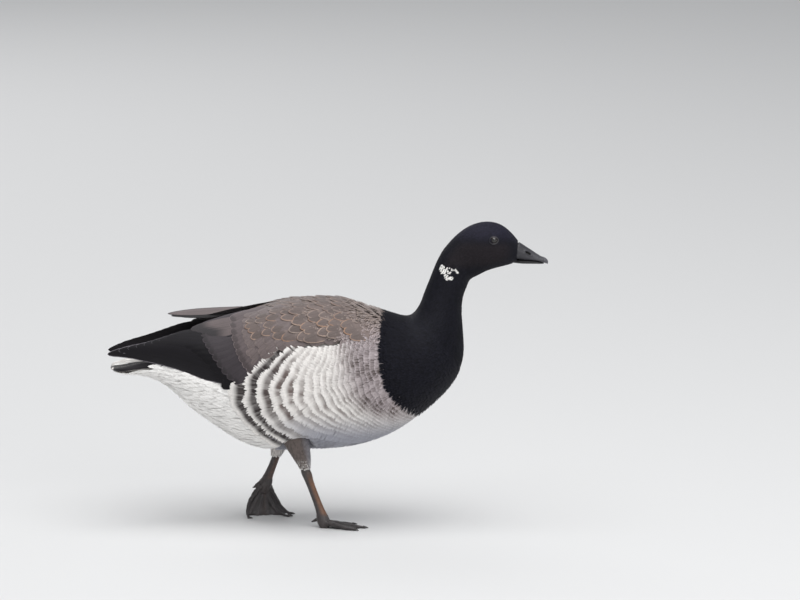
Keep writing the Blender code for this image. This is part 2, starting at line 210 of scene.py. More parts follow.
def cast_round(surface, centres, ups, columns, reach):
    """Rings of points on a surface round a line of centres.  Column 0 is opposite up, and then comes -Y."""
    grid = np.empty((len(centres), columns, 3))
    distance = reach / 2
    for i, (centre, up) in enumerate(zip(centres, ups)):
        for j, turn in enumerate(2 * math.pi * np.arange(columns) / columns):
            outwards = -math.cos(turn) * up - math.sin(turn) * LEFT
            hit = surface.ray_cast(Vector(centre + outwards * reach), Vector(-outwards), reach)
            if hit[0]:
                distance = reach - hit[3]
            grid[i, j] = centre + outwards * distance
    return grid


def smoothed(grid, passes, closed=True):
    """The grid with its facets smoothed out and its ends kept."""
    for _ in range(passes):
        if closed:
            grid = (np.roll(grid, 1, axis=1) + 2 * grid + np.roll(grid, -1, axis=1)) / 4
        else:
            grid[:, 1:-1] = (grid[:, :-2] + 2 * grid[:, 1:-1] + grid[:, 2:]) / 4
        grid[1:-1] = (grid[:-2] + 2 * grid[1:-1] + grid[2:]) / 4
    return grid


def spline(knots, values, places):
    """A smooth curve through values at knots, read at places."""
    values = np.asarray(values, float)
    slopes = np.gradient(values, knots, axis=0)
    span = np.clip(np.searchsorted(knots, places, side="right") - 1, 0, len(knots) - 2)
    width = (knots[span + 1] - knots[span])[:, None]
    t = (places - knots[span])[:, None] / width
    start = values[span] * (1 + 2 * t) * (1 - t) ** 2 + slopes[span] * width * t * (1 - t) ** 2
    end = values[span + 1] * t**2 * (3 - 2 * t) + slopes[span + 1] * width * t**2 * (t - 1)
    return start + end


def read_spine():
    """The middle and the up direction of each plane of the body's chart."""
    table = np.array(SPINE, float)
    knots = np.concatenate([[0], np.cumsum(np.hypot(*np.diff(table[:, :2], axis=0).T))])
    x, z, lean = spline(knots, table, np.linspace(0, knots[-1], BODY_ROWS)).T
    centres = np.stack([x, np.zeros_like(x), z], axis=1) * MM
    lean = np.radians(lean)
    return centres, np.stack([-np.sin(lean), np.zeros_like(x), np.cos(lean)], axis=1)


SPINE_CENTRES, SPINE_UPS = read_spine()


def body_chart(*nodes):
    """These nodes as one chart of the body, with u along the spine from the tail."""
    grid = cast_round(surface_of(*nodes), SPINE_CENTRES, SPINE_UPS, BODY_COLUMNS, CAST_REACH)
    return Chart(smoothed(grid, CHART_SMOOTHING), closed=True)


def u_of(x):
    """u of the body's charts where the spine passes x, in millimetres."""
    return np.interp(x, SPINE_CENTRES[:, 0] / MM, np.linspace(0, 1, BODY_ROWS))


def coat_depth(u):
    """Depth of the coat at u of the body's charts."""
    places, depths = zip(*COAT_DEPTH)
    return np.interp(u, u_of(np.array(places)), depths) * MM


BODY_NODES = ("tail", "trunk", "neck", "head", "eye_left", "eye_right")
FLESH = body_chart(*BODY_NODES)
OUTLINE = body_chart(*BODY_NODES, "wing_left", "wing_right")

# A wing's own chart: u from the shoulder to the wing tip, v from the upper edge to the lower one.  It is read
# by rays that come from outside and above.
WING_ROWS = 120
WING_COLUMNS = 40
WING_SLANT = math.radians(28)
WING_END = 0.6  # left out at either end
WING_SMOOTHING = 6
EDGE_SEARCH = 240


def wing_chart(side):
    """The outer face of a folded wing."""
    node = "wing_left" if side > 0 else "wing_right"
    surface = surface_of(node)
    low, high = (np.array(corner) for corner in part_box(node))
    inwards = np.array([0, -side * math.cos(WING_SLANT), -math.sin(WING_SLANT)])
    upwards = np.array([0, -side * math.sin(WING_SLANT), math.cos(WING_SLANT)])
    middle = np.array([0, side * abs(low[1] + high[1]) / 2, (low[2] + high[2]) / 2])
    reach = high[2] - low[2]

    def hit_at(x, rise):
        start = middle + upwards * rise - inwards * reach
        start[0] = x
        return surface.ray_cast(Vector(start), Vector(inwards))[0]

    rows = []
    for x in np.linspace(high[0] - WING_END * MM, low[0] + WING_END * MM, WING_ROWS):
        rises = np.linspace(reach, -reach, EDGE_SEARCH)
        found = [rise for rise in rises if hit_at(x, rise)]
        rows.append([hit_at(x, rise) for rise in np.linspace(found[0], found[-1], WING_COLUMNS)])
    grid = smoothed(np.array(rows, float), WING_SMOOTHING, closed=False)
    chart = Chart(grid, closed=False)
    chart.normals *= -side  # outwards on both sides
    return chart


WINGS = {label: wing_chart(side) for label, side in SIDES.items()}

# -------------------------------------------------------------------------------------------- material

UNIFORM = 1.0


class Graph:
    """A short way to write a material's nodes."""

    def __init__(self, name):
        self.material = bpy.data.materials.new(name)
        self.material.use_nodes = True
        self.tree = self.material.node_tree
        self.shader = self.tree.nodes["Principled BSDF"]

    def node(self, kind, **settings):
        made = self.tree.nodes.new(kind)
        for name, value in settings.items():
            setattr(made, name, value)
        return made

    def put(self, socket, value):
        """Joins a socket to another, or sets its value."""
        if isinstance(value, bpy.types.NodeSocket):
            self.tree.links.new(value, socket)
        elif hasattr(value, "__len__") and socket.type == "RGBA":
            socket.default_value = (*value[:3], 1)
        else:
            socket.default_value = value

    def math(self, operation, *values):
        made = self.node("ShaderNodeMath", operation=operation)
        for socket, value in zip(made.inputs, values):
            self.put(socket, value)
        return made.outputs[0]

    def add(self, first, second):
        return self.math("ADD", first, second)

    def minus(self, first, second):
        return self.math("SUBTRACT", first, second)

    def times(self, first, second):
        return self.math("MULTIPLY", first, second)

    def ramp(self, value, low, high, start=0.0, end=1.0):
        """start below low, end above high, and smooth between."""
        made = self.node("ShaderNodeMapRange", interpolation_type="SMOOTHSTEP")
        for socket, given in zip(made.inputs, (value, low, high, start, end)):
            self.put(socket, given)
        return made.outputs[0]

    def blend(self, share, first, second, kind="MIX"):
        made = self.node("ShaderNodeMix", data_type="RGBA", blend_type=kind)
        self.put(made.inputs["Factor"], share)
        self.put(made.inputs[6], first)
        self.put(made.inputs[7], second)
        return made.outputs[2]

    def shaded(self, colour, tone, middle=1.0):
        """The colour times a tone that goes up and down from middle."""
        shade = self.node("ShaderNodeCombineColor")
        for socket in shade.inputs:
            self.put(socket, self.add(tone, middle))
        return self.blend(UNIFORM, colour, shade.outputs[0], "MULTIPLY")

    def attribute(self, name, output="Color"):
        return self.node("ShaderNodeAttribute", attribute_name=name).outputs[output]

    def uv(self, name):
        made = self.node("ShaderNodeSeparateXYZ")
        self.put(made.inputs[0], self.node("ShaderNodeUVMap", uv_map=name).outputs[0])
        return made.outputs[0], made.outputs[1]

    def noise(self, size, detail=2.0, stretch=(1, 1, 1)):
        """Noise of about this size in metres, from -0.5 to 0.5, longer along an axis of smaller stretch."""
        place = self.node("ShaderNodeMapping")
        self.put(place.inputs[0], self.node("ShaderNodeTexCoord").outputs["Object"])
        place.inputs["Scale"].default_value = stretch
        made = self.node("ShaderNodeTexNoise")
        self.put(made.inputs["Vector"], place.outputs[0])
        self.put(made.inputs["Scale"], 1 / size)
        self.put(made.inputs["Detail"], detail)
        return self.minus(made.outputs[0], 0.5)

    def bump(self, height, distance, strength=1.0):
        """A bump of this height, where a height of 1 stands for the distance in metres."""
        made = self.node("ShaderNodeBump")
        self.put(made.inputs["Height"], height)
        self.put(made.inputs["Distance"], distance)
        self.put(made.inputs["Strength"], strength)
        self.put(self.shader.inputs["Normal"], made.outputs[0])

    def set(self, **values):
        """Sets the shader's sockets, with _ for a space in their names."""
        for name, value in values.items():
            self.put(self.shader.inputs[name.replace("_", " ")], value)
        return self.material


SHAFT_WIDTH = (0.12, 0.4)  # from the middle of a feather, where its dark shaft begins and ends to fade
SHAFT_COLOUR = (0.004, 0.0035, 0.0035)


def fringe_share(g, rim, width):
    """How much of the fringe's colour shows at a distance from the rim."""
    shown = g.ramp(rim, g.times(width, 0.55), g.add(width, 0.05), 1, 0)
    return g.times(shown, g.ramp(width, 0.02, 0.12))


def bar_share(g, from_tip, start, end, softness):
    """How much of the bar's colour shows at a distance from the tip."""
    soft = g.times(g.minus(end, start), softness)
    begins = g.ramp(from_tip, g.minus(start, soft), g.add(start, soft))
    ends = g.ramp(from_tip, g.minus(end, soft), g.add(end, soft), 1, 0)
    return g.times(begins, ends)


def plumage(
    name,
    roughness=0.62,
    sheen=0.15,
    specular=0.3,
    barb=0.55,
    barb_contrast=0.1,
    shaft=0.0,
    edge_fray=0.35,
    bar_softness=0.12,
):
    """Feathers: their own colour, a fringe, a bar, and barbs this many millimetres apart along the shaft."""
    g = Graph(name)
    across, from_tip = g.uv("Vane")
    rim, _ = g.uv("Edge")
    marks = g.node("ShaderNodeSeparateColor")
    g.put(marks.inputs[0], g.attribute("marks"))
    fringe_width, bar_start, bar_end = marks.outputs
    bar_strength = g.attribute("marks", "Alpha")

    side = g.math("ABSOLUTE", across)
    barbs = g.math("SINE", g.times(g.add(from_tip, side), 2 * math.pi / barb))
    fine = g.noise(0.0012, 3)
    fray = g.times(g.add(g.times(barbs, 0.3), g.times(fine, 3.0)), edge_fray)

    fringe = fringe_share(g, g.add(rim, fray), fringe_width)
    frayed_tip = g.add(g.add(from_tip, fray), g.times(side, 0.12))
    bar = g.times(bar_share(g, frayed_tip, bar_start, bar_end, bar_softness), bar_strength)

    colour = g.blend(bar, g.attribute("base"), g.attribute("bar"))
    colour = g.blend(fringe, colour, g.attribute("fringe"))
    if shaft:
        colour = g.blend(g.ramp(side, *SHAFT_WIDTH, shaft, 0), colour, SHAFT_COLOUR)
    tone = g.add(g.times(barbs, barb_contrast), g.times(fine, 0.35))
    tone = g.add(tone, g.times(g.noise(0.012), 0.25))
    colour = g.shaded(colour, tone)
    g.bump(g.add(g.times(barbs, 0.5), fine), 0.00012, 0.5)
    return g.set(
        Base_Color=colour,
        Roughness=roughness,
        Sheen_Weight=sheen,
        Sheen_Roughness=0.5,
        Specular_IOR_Level=specular,
    )


# --------------------------------------------------------------------------------------------- feathers


@dataclass
class Vane:
    """The shape of a feather, in millimetres: how it is made, not where it lies."""

    length: float = 20.0
    width: float = 10.0
    root: float = 0.5  # width at the root, as a share
    widest: float = 0.6  # where it is widest, as a share of its length
    blunt: float = 2.0  # 2 ends in a half ellipse, and more is squarer
    thickness: float = 0.35  # how far the middle stands above the edges' plane
    camber: float = 0.25  # how far the edges droop
    tip: float = -0.15  # height of the tip over the chart
    lift: float = 0.0  # how far the last part curls out
    rows: int = 5
    columns: int = 3

    def shares(self):
        """Places along the feather, closer together towards its tip."""
        return 1 - (1 - np.arange(self.rows + 1) / self.rows) ** 1.7

    def half_width(self, share):
        rise = self.root + (1 - self.root) * smoothstep(-0.1, self.widest, share)
        end = np.clip((share - self.widest) / (1 - self.widest), 0, 1)
        return rise * (1 - end**self.blunt) ** (1 / self.blunt) / 2


@dataclass
class Coat:
    """The colours of a tract, each an array for its feathers or one for all."""

    base: object = (0.1, 0.1, 0.1)
    fringe: object = (0.1, 0.1, 0.1)
    bar: object = (0.1, 0.1, 0.1)
    fringe_width: object = 0.0
    bar_start: object = 5.0
    bar_end: object = 9.0
    bar_strength: object = 0.0
    from_tip: object = None  # distances that take the place of those from the tip, one for each vertex


ROW_DETAIL = 240  # places that a row of feathers is measured at


def steps_along(line, step):
    """Shares of a line of points that lie about step apart, half a step in from its ends."""
    lengths = np.concatenate([[0], np.cumsum(np.linalg.norm(np.diff(line, axis=0), axis=1))])
    count = max(1, round(lengths[-1] / step))
    return np.interp((np.arange(count) + 0.5) / count * lengths[-1], lengths, np.linspace(0, 1, len(line)))


class Flow:
    """How feathers lie on a chart.

    Their tips are in rows, on lines where a field of the surface has one value in millimetres, and each
    feather points where that value falls.
    """

    def __init__(self, chart, field):
        self.chart = chart
        self.values = field(chart.points / MM)
        # The field's slopes by u and v give the way it rises over the surface, but not yet of length 1.
        p, q = chart.slopes(self.values)
        e = (chart.du**2).sum(-1)
        f = (chart.du * chart.dv).sum(-1)
        g = (chart.dv**2).sum(-1)
        rising = (g * p - f * q)[..., None] * chart.du + (e * q - f * p)[..., None] * chart.dv
        self.headings = -unit(rising)

    def row(self, level, v_range, step):
        """Places (u, v) a step of this many millimetres apart on the line where the field has this value."""
        v = np.arange(self.chart.columns) / self.chart.columns
        u_grid = np.linspace(0, 1, self.chart.rows)
        u = np.array([np.interp(level, values, u_grid) for values in self.values.T])
        if self.chart.closed:
            v, u = np.append(v, 1 + v[0]), np.append(u, u[0])
        else:
            v = np.linspace(0, 1, self.chart.columns)
        fine = np.linspace(*v_range, ROW_DETAIL)
        across = fine if not self.chart.closed else fine % 1
        u = np.interp(across, v, u)
        shares = steps_along(self.chart.point(u, fine), step * MM)
        return tuple(np.interp(shares, np.linspace(0, 1, ROW_DETAIL), values) for values in (u, fine))

    def rows(self, levels, v_range, steps, rng, jitter=0.2):
        """Staggered tips, (u, v, level), of all the rows.  steps is how far apart they are in a row."""
        found = []
        steps = np.broadcast_to(steps, len(levels))
        gaps = np.gradient(levels)
        for i, (level, step, gap) in enumerate(zip(levels, steps, gaps)):
            u, v = self.row(level, v_range, step)
            v = v + (i % 2 - 0.5) / 2 / len(v) * (v_range[1] - v_range[0])
            u_step = gap * MM / np.linalg.norm(self.chart.read(self.chart.du, u, v), axis=-1)
            v_step = step * MM / np.linalg.norm(self.chart.read(self.chart.dv, u, v), axis=-1)
            u = u + rng.normal(0, jitter, len(u)) * u_step
            v = v + rng.normal(0, jitter, len(v)) * v_step
            found.append((u, v, np.full(len(u), level)))
        return tuple(np.concatenate(column) for column in zip(*found))

    def heading(self, u, v):
        normal = self.chart.normal(u, v)
        found = self.chart.read(self.headings, u, v)
        return unit(found - normal * (found * normal).sum(-1)[..., None])

    def trace(self, u, v, length, vane):
        """The paths of feathers back from their tips, as u and v at each of the vane's rows."""
        us, vs = [u], [v]
        for stretch in np.diff(vane.shares())[::-1]:
            u, v = self.chart.step(us[-1], vs[-1], -self.heading(us[-1], vs[-1]), length * stretch)
            us.append(u)
            vs.append(v)
        return np.stack(us[::-1], axis=1), np.stack(vs[::-1], axis=1)


def lay(chart, us, vs, length, width, root_height, tip_height, vane):
    """The vertices of feathers along these paths: (feather, row and column, xyz).  The tip is the last."""
    shares = vane.shares()
    path = chart.point(us, vs)
    normal = chart.normal(us, vs)
    ahead = unit(np.gradient(path, axis=1))
    across = unit(np.cross(normal, ahead))
    height = root_height[:, None] + (tip_height - root_height)[:, None] * shares
    height += vane.lift * MM * smoothstep(0.5, 1, shares) * length[:, None] / (vane.length * MM)
    half = width[:, None] * vane.half_width(shares)
    columns = np.linspace(-1, 1, vane.columns)
    grid = []
    for share in columns:
        u, v = chart.step(us, vs, across, share * half)
        crown = vane.thickness * (1 - share**2) - vane.camber * share**2
        slim = half / np.maximum(width[:, None] / 2, 1e-9)
        rise = height + crown * MM * slim
        grid.append(chart.point(u, v) + chart.normal(u, v) * rise[..., None])
    grid = np.stack(grid, axis=2)
    body = grid[:, :-1].reshape(len(us), -1, 3)
    return np.concatenate([body, grid[:, -1:, vane.columns // 2]], axis=1)


def vane_faces(rows, columns):
    """The triangles of one feather, those of its upper side first, and how many of them are those."""

    def at(row, column):
        return row * columns + column

    tip = rows * columns
    upper, lower = [], []
    for row in range(rows - 1):
        for column in range(columns - 1):
            a, b = at(row, column), at(row + 1, column)
            upper += [(a, b, b + 1), (a, b + 1, a + 1)]
        a, b, c, d = at(row, 0), at(row, columns - 1), at(row + 1, columns - 1), at(row + 1, 0)
        lower += [(a, b, c), (a, c, d)]
    upper += [(at(rows - 1, column), tip, at(rows - 1, column + 1)) for column in range(columns - 1)]
    lower += [(at(rows - 1, columns - 1), tip, at(rows - 1, 0))]
    lower += [(0, column, column + 1) for column in range(1, columns - 1)]
    return np.array(upper + lower), len(upper)


PATCH = 0.003  # size of each feather's place on the OFBake map
UPPER_SHARE = 0.8  # of which its upper side takes this much
NO_RIM = 50.0  # distance from the rim on the under side, so far that no fringe shows there
ROOT_DEPTH = 0.93  # how deep in the coat the roots of feathers are, as a share of its depth


def feather_layers(length, width, patches, vane, coat):
    """The uv layers of a batch of feathers, with a place for each corner of their triangles.

    Vane is the distance across the feather and from its tip, and Edge the distance from its rim, all in
    millimetres.  OFBake is the feather's own patch, which begins at its place in patches.
    """
    triangles, uppers = vane_faces(vane.rows, vane.columns)
    corner = triangles.reshape(-1)
    under = np.repeat(np.arange(len(triangles)) >= uppers, 3)
    shares = np.append(np.repeat(vane.shares()[:-1], vane.columns), 1.0)
    columns = np.append(np.tile(np.linspace(-1, 1, vane.columns), vane.rows), 0.0)
    half = width[:, None] * vane.half_width(shares) / MM
    from_tip = length[:, None] * (1 - shares) / MM
    across = half * columns
    rim = np.minimum(half * (1 - np.abs(columns)), from_tip)
    rim = np.where(under, NO_RIM, rim[:, corner])
    if coat.from_tip is not None:
        from_tip = coat.from_tip
    along = np.where(under, 1 - (1 - UPPER_SHARE) * (1 - shares[corner]), UPPER_SHARE * shares[corner])
    local = np.stack([columns[corner] / 2 + 0.5, along], axis=-1)
    return {
        "Vane": np.stack([across[:, corner], from_tip[:, corner]], axis=-1).reshape(-1, 2),
        "Edge": np.stack([rim, np.zeros_like(rim)], axis=-1).reshape(-1, 2),
        "OFBake": (patches[:, None] + PATCH * local).reshape(-1, 2),
    }


def feather_colours(coat, count, each):
    """The coat of a batch as colours for the vertices: count feathers of each so many."""
    found = {}
    for key, values in (("base", coat.base), ("fringe", coat.fringe), ("bar", coat.bar)):
        colour = np.concatenate([np.broadcast_to(values, (count, 3)), np.ones((count, 1))], axis=1)
        found[key] = np.repeat(colour, each, axis=0)
    marks = [coat.fringe_width, coat.bar_start, coat.bar_end, coat.bar_strength]
    marks = np.stack([np.broadcast_to(mark, count) for mark in marks], axis=1)
    found["marks"] = np.repeat(marks, each, axis=0)
    return found


def merged(tables):
    """One table of the arrays of several that have the same keys."""
    return {key: np.concatenate([table[key] for table in tables]) for key in tables[0]}


def feather_mesh(name, batches, material):
    """One mesh of all the feathers in batches, each (vertices, length, width, root places, vane, coat)."""
    every_root = np.concatenate([roots for _, _, _, roots, *_ in batches])
    lowest = every_root.min(axis=0)
    spread = np.maximum(np.ptp(every_root, axis=0), 1e-6)
    points, faces, layers, colours = [], [], [], []
    start = 0
    for vertices, length, width, roots, vane, coat in batches:
        count, each = vertices.shape[:2]
        starts = start + each * np.arange(count)
        triangles, _ = vane_faces(vane.rows, vane.columns)
        patches = (roots - lowest) / spread * (1 - PATCH)
        points.append(vertices.reshape(-1, 3))
        faces.append((triangles[None] + starts[:, None, None]).reshape(-1, 3))
        layers.append(feather_layers(length, width, patches, vane, coat))
        colours.append(feather_colours(coat, count, each))
        start += count * each
    return make_mesh(
        name, np.concatenate(points), np.concatenate(faces), material, merged(layers), merged(colours)
    )


def make_mesh(name, points, triangles, material, layers=None, colours=None):
    """An object from arrays: uv layers hold a place for each corner, colours one for each point."""
    mesh = bpy.data.meshes.new(name)
    mesh.vertices.add(len(points))
    mesh.vertices.foreach_set("co", points.astype(np.float32).ravel())
    mesh.loops.add(triangles.size)
    mesh.loops.foreach_set("vertex_index", triangles.astype(np.int32).ravel())
    mesh.polygons.add(len(triangles))
    mesh.polygons.foreach_set("loop_start", np.arange(0, triangles.size, 3, dtype=np.int32))
    mesh.update(calc_edges=True)
    for key, values in (layers or {}).items():
        mesh.uv_layers.new(name=key).uv.foreach_set("vector", values.astype(np.float32).ravel())
    for key, values in (colours or {}).items():
        layer = mesh.attributes.new(key, "FLOAT_COLOR", "POINT")
        layer.data.foreach_set("color", values.astype(np.float32).ravel())
    mesh.shade_smooth()
    mesh.set_sharp_from_angle(angle=SHARP_EDGE)
    mesh.materials.append(material)
    thing = bpy.data.objects.new(name, mesh)
    bpy.context.scene.collection.objects.link(thing)
    return thing


def finish_piece(thing, slot, *nodes):
    """Fixes a piece to the bird and hides the CAD nodes that it stands for.  slot is not used."""
    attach(thing, "root")
    if nodes:
        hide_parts(*nodes)


def uv_places(u, v):
    """Places on a chart, one for each feather, from arrays or numbers for u and v."""
    return np.stack(np.broadcast_arrays(u, v), axis=-1)


def bake_places(u, v):
    """Places of roots on the unwrapped chart, which feather_mesh() stretches to fill the map."""
    return uv_places(u, np.where(v > 1, v - 1, v))


def levels_between(low, high, step):
    """Rows from low to high, where step gives the gap in millimetres at a level, or is that gap."""
    found = [low]
    while found[-1] < high:
        found.append(found[-1] + (step(found[-1]) if callable(step) else step))
    return np.array(found)


def cover(flow, tips, vane, rng, keep=None, size=1.0, spare=0.1, sunk=0.0):
    """Feathers whose tips are at these places.

    Returns what feather_mesh() takes but for the coat, the tips in space, and their levels.
    """
    u, v, level = tips
    size = np.broadcast_to(size, u.shape) * rng.uniform(1 - spare, 1 + spare, len(u))
    sunk = np.broadcast_to(sunk, u.shape)
    found = flow.chart.point(u, v)
    if keep is not None:
        kept = keep(found)
        u, v, level, size, sunk, found = (column[kept] for column in (u, v, level, size, sunk, found))
    length = vane.length * MM * size
    width = vane.width * MM * size
    us, vs = flow.trace(u, v, length, vane)
    depth = coat_depth(us[:, 0])
    root_height = -ROOT_DEPTH * depth
    tip_height = (vane.tip - sunk) * MM - rng.uniform(0, vane.thickness * MM, len(us))
    vertices = lay(flow.chart, us, vs, length, width, root_height, tip_height, vane)
    return (vertices, length, width, bake_places(us[:, 0], vs[:, 0]), vane), found, level


# ------------------------------------------------------------------------------------ where colours change

BLACK = linear(20, 20, 28)
CHEEK = linear(34, 30, 34)
# Painted sheen: the top of the head is painted lighter and bluer, as if lit by the sky.
CROWN_PAINTED_SHEEN = linear(33, 32, 45)
BROWN = linear(112, 99, 95)
PRIMARY = linear(24, 22, 26)
MANTLE = linear(146, 133, 129)
BUFF = linear(158, 142, 133)
RUST = linear(152, 118, 95)
WHITE = linear(232, 228, 224)
CLEAN_WHITE = linear(248, 246, 243)  # of the vent
BAR = BROWN
DARK_BAR = linear(46, 38, 38)
BELLY = linear(158, 159, 169)
RUMP = linear(66, 60, 62)
STREAKED = linear(176, 164, 167)  # of the flank by the breast

BIB_X = 49.5  # where the black of the breast ends, on the side
BIB_LEVEL = 190.0  # height above and below which its edge runs forward
BIB_DROP = 80.0  # how far below it is BIB_FORWARD ahead
BIB_FORWARD = 38.5
BIB_RISE = 35.0  # how far above it is BIB_SHOULDER ahead
BIB_SHOULDER = 6.0
BIB_LIMIT = 1.6  # times those heights, where it stops running on


def bib_edge(z):
    """x where the black breast ends behind, at height z, both in millimetres."""
    low = np.clip((BIB_LEVEL - z) / BIB_DROP, 0, BIB_LIMIT)
    high = np.clip((z - BIB_LEVEL) / BIB_RISE, 0, BIB_LIMIT)
    return BIB_X + BIB_FORWARD * low**3 + BIB_SHOULDER * high**2


def on_bib(points):
    """Where points are on the black of head, neck and breast."""
    x, _, z = (points / MM).T
    return x > bib_edge(z)


BACK_LEVEL = 190.0  # height where the brown of the back meets the pale flank
BACK_DROP = 8.0  # how much lower that is by the black breast
BACK_DROP_X = (10, 50)  # x over which it drops
BACK_SOFT = 3.0  # height above and below it over which they run into each other
# Where a colour comes in, from none of it to all of it, by x, |y| or height.
RUMP_X = (-158, -140)
RUMP_Z = (165, 180)
BELLY_Z = (112, 88)
BELLY_X = (-80, -50)
CHEEK_Y = (10, 18)
CHEEK_Z = (255, 268)
CHEEK_TOP = (292, 280)
CROWN_SHEEN_Z = (284, 297)
BROWN_FROM = -110.0  # the back is brown ahead of this x


def back_share(points):
    """1 on the brown back and 0 on the pale flank."""
    x, _, z = (points / MM).T
    level = BACK_LEVEL - BACK_DROP * smoothstep(*BACK_DROP_X, x)
    return smoothstep(level - BACK_SOFT, level + BACK_SOFT, z)


def vent_colour(points):
    """White under and over the tail, and dark on the rump between the wings."""
    x, _, z = (points / MM).T
    return mix(CLEAN_WHITE, RUMP, smoothstep(*RUMP_X, x) * smoothstep(*RUMP_Z, z))


def plumage_colour(points):
    """The colour of the plumage at points of the body."""
    x, y, z = (points / MM).T
    flank = mix(WHITE, BELLY, smoothstep(*BELLY_Z, z) * smoothstep(*BELLY_X, x))
    colour = mix(flank, BROWN, back_share(points) * (x > BROWN_FROM))
    cheek = smoothstep(*CHEEK_Y, np.abs(y)) * smoothstep(*CHEEK_Z, z) * smoothstep(*CHEEK_TOP, z)
    # The crown's colour is painted sheen on the top of the head.
    black = mix(mix(BLACK, CHEEK, cheek), CROWN_PAINTED_SHEEN, smoothstep(*CROWN_SHEEN_Z, z))
    return mix(colour, black, on_bib(points))


# ------------------------------------------------------------------------------------------------- skin

EYE_CENTRE = np.mean(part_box("eye_left"), axis=0)
EYE_CLEAR = (4.35, 3.7)  # half length and half height of the bare place round an eye
EYE_SOCKET = (5.2, 5.0)  # a little more than the hole for it in the CAD's head
EYE_DEPTH = 13.5  # the skin's distance from the middle plane, behind the eyeball
SOCKET_SHARE = 0.85  # how much of the bare place goes in so far


def off_eyes(points, size=1.0):
    """Where points are outside the bare places round the eyes."""
    x, _, z = (points - EYE_CENTRE).T / MM
    return (x / EYE_CLEAR[0]) ** 2 + (z / EYE_CLEAR[1]) ** 2 > size**2


def skin_material():
    g = Graph("skin")
    grain = g.noise(0.0015, 4)
    shade = g.blend(g.add(g.times(grain, 0.8), 0.5), (0.55, 0.55, 0.55), (1, 1, 1))
    g.bump(grain, 0.0003)
    return g.set(Base_Color=g.blend(UNIFORM, g.attribute("base"), shade, "MULTIPLY"), Roughness=0.75)


def joined(*meshes):
    """The vertices and triangles of several meshes as those of one."""
    starts = np.cumsum([0] + [len(vertices) for vertices, _ in meshes])
    faces = [triangles + start for (_, triangles), start in zip(meshes, starts)]
    return np.concatenate([vertices for vertices, _ in meshes]), np.concatenate(faces)


def tube(points):
    """Vertices and triangles of a closed tube through rings of points."""
    rings, sides = points.shape[:2]
    vertices = np.concatenate([points.reshape(-1, 3), points[:1].mean(axis=1), points[-1:].mean(axis=1)])
    faces = []
    for i in range(rings - 1):
        for j in range(sides):
            a, b = i * sides + j, i * sides + (j + 1) % sides
            faces += [(a, a + sides, b + sides), (a, b + sides, b)]
    first, last = rings * sides, rings * sides + 1
    base = (rings - 1) * sides
    for j in range(sides):
        k = (j + 1) % sides
        faces += [(first, j, k), (last, base + k, base + j)]
    return vertices, np.array(faces)


def evaluated(thing):
    """Replaces the object's mesh by what its modifiers make of it."""
    bpy.context.view_layer.update()
    graph = bpy.context.evaluated_depsgraph_get()
    made = bpy.data.meshes.new_from_object(thing.evaluated_get(graph))
    thing.modifiers.clear()
    old, thing.data = thing.data, made
    bpy.data.meshes.remove(old)


def remesh(thing, voxel, smoothing):
    """Joins everything in the mesh into one even surface."""
    modifier = thing.modifiers.new("remesh", "REMESH")
    modifier.mode = "VOXEL"
    modifier.voxel_size = voxel
    modifier.use_smooth_shade = True
    smoother = thing.modifiers.new("smooth", "SMOOTH")
    smoother.iterations = smoothing
    smoother.factor = 0.5
    evaluated(thing)


def move_vertices(mesh, points):
    """Puts each vertex at its point."""
    mesh.vertices.foreach_set("co", points.astype(np.float32).ravel())
    mesh.update()


def paint(mesh, colours):
    """Gives each vertex its colour, which the material reads as base."""
    colours = np.concatenate([colours, np.ones((len(colours), 1))], axis=1)
    layer = mesh.attributes.new("base", "FLOAT_COLOR", "POINT")
    layer.data.foreach_set("color", colours.astype(np.float32).ravel())


def vertices_of(mesh):
    """The mesh's vertices as an array."""
    found = np.empty(len(mesh.vertices) * 3, np.float32)
    mesh.vertices.foreach_get("co", found)
    return found.reshape(-1, 3).astype(float)


LIMB_ROWS = 48
LIMB_COLUMNS = 32
LIMB_REACH = 0.05
LIMB_SMOOTHING = 4
SHANK_SKIN = 1.6  # depth of the coat over the skin of the shanks


def limb_chart(node):
    """A piece of leg: u from its lower end to its upper one, and v round it, from the front by -Y."""
    low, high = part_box(node)
    points = vertices_of(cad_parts[node].data)
    levels = np.unique(points[:, 2].round(4))
    middles = np.array([points[np.abs(points[:, 2] - level) < 0.2 * MM].mean(axis=0) for level in levels])
    heights = np.linspace(low[2] + 0.1 * MM, high[2] - 0.1 * MM, LIMB_ROWS)
    centres = np.stack([np.interp(heights, levels, middles[:, k]) for k in (0, 1)] + [heights], axis=1)
    backwards = np.tile([-1.0, 0, 0], (LIMB_ROWS, 1))
    grid = cast_round(surface_of(node), centres, backwards, LIMB_COLUMNS, LIMB_REACH)
    return Chart(smoothed(grid, LIMB_SMOOTHING), closed=True)


SHANKS = {label: limb_chart("shank_" + label) for label in SIDES}


def make_skin():
    """One skin over head, neck, trunk, folded wings, tail and shanks, inside the coat."""
    u = np.linspace(0, 1, BODY_ROWS)[:, None]
    flesh = smoothstep(*WING_FLESH, SPINE_CENTRES[:, 0] / MM)[:, None, None]
    points = FLESH.points * (1 - flesh) + OUTLINE.points * flesh
    body = points - OUTLINE.normals * coat_depth(u)[..., None]
    shanks = [tube(chart.points - chart.normals * SHANK_SKIN * MM) for chart in SHANKS.values()]
    thing = make_mesh("skin", *joined(tube(body), *shanks), skin_material())
    remesh(thing, SKIN_VOXEL, SKIN_SMOOTHING)
    points = vertices_of(thing.data)
    socket = ~off_eyes(points, SOCKET_SHARE)
    points[socket, 1] = np.clip(points[socket, 1], -EYE_DEPTH * MM, EYE_DEPTH * MM)
    move_vertices(thing.data, points)
    paint(thing.data, plumage_colour(points))
    finish_piece(thing, "plumage_body", "trunk", "neck", "head", "tail", "shank_left", "shank_right")


# ----------------------------------------------------------------------------------------- small feathers

SPINE_LENGTH = np.linalg.norm(np.diff(SPINE_CENTRES, axis=0), axis=1).sum() / MM


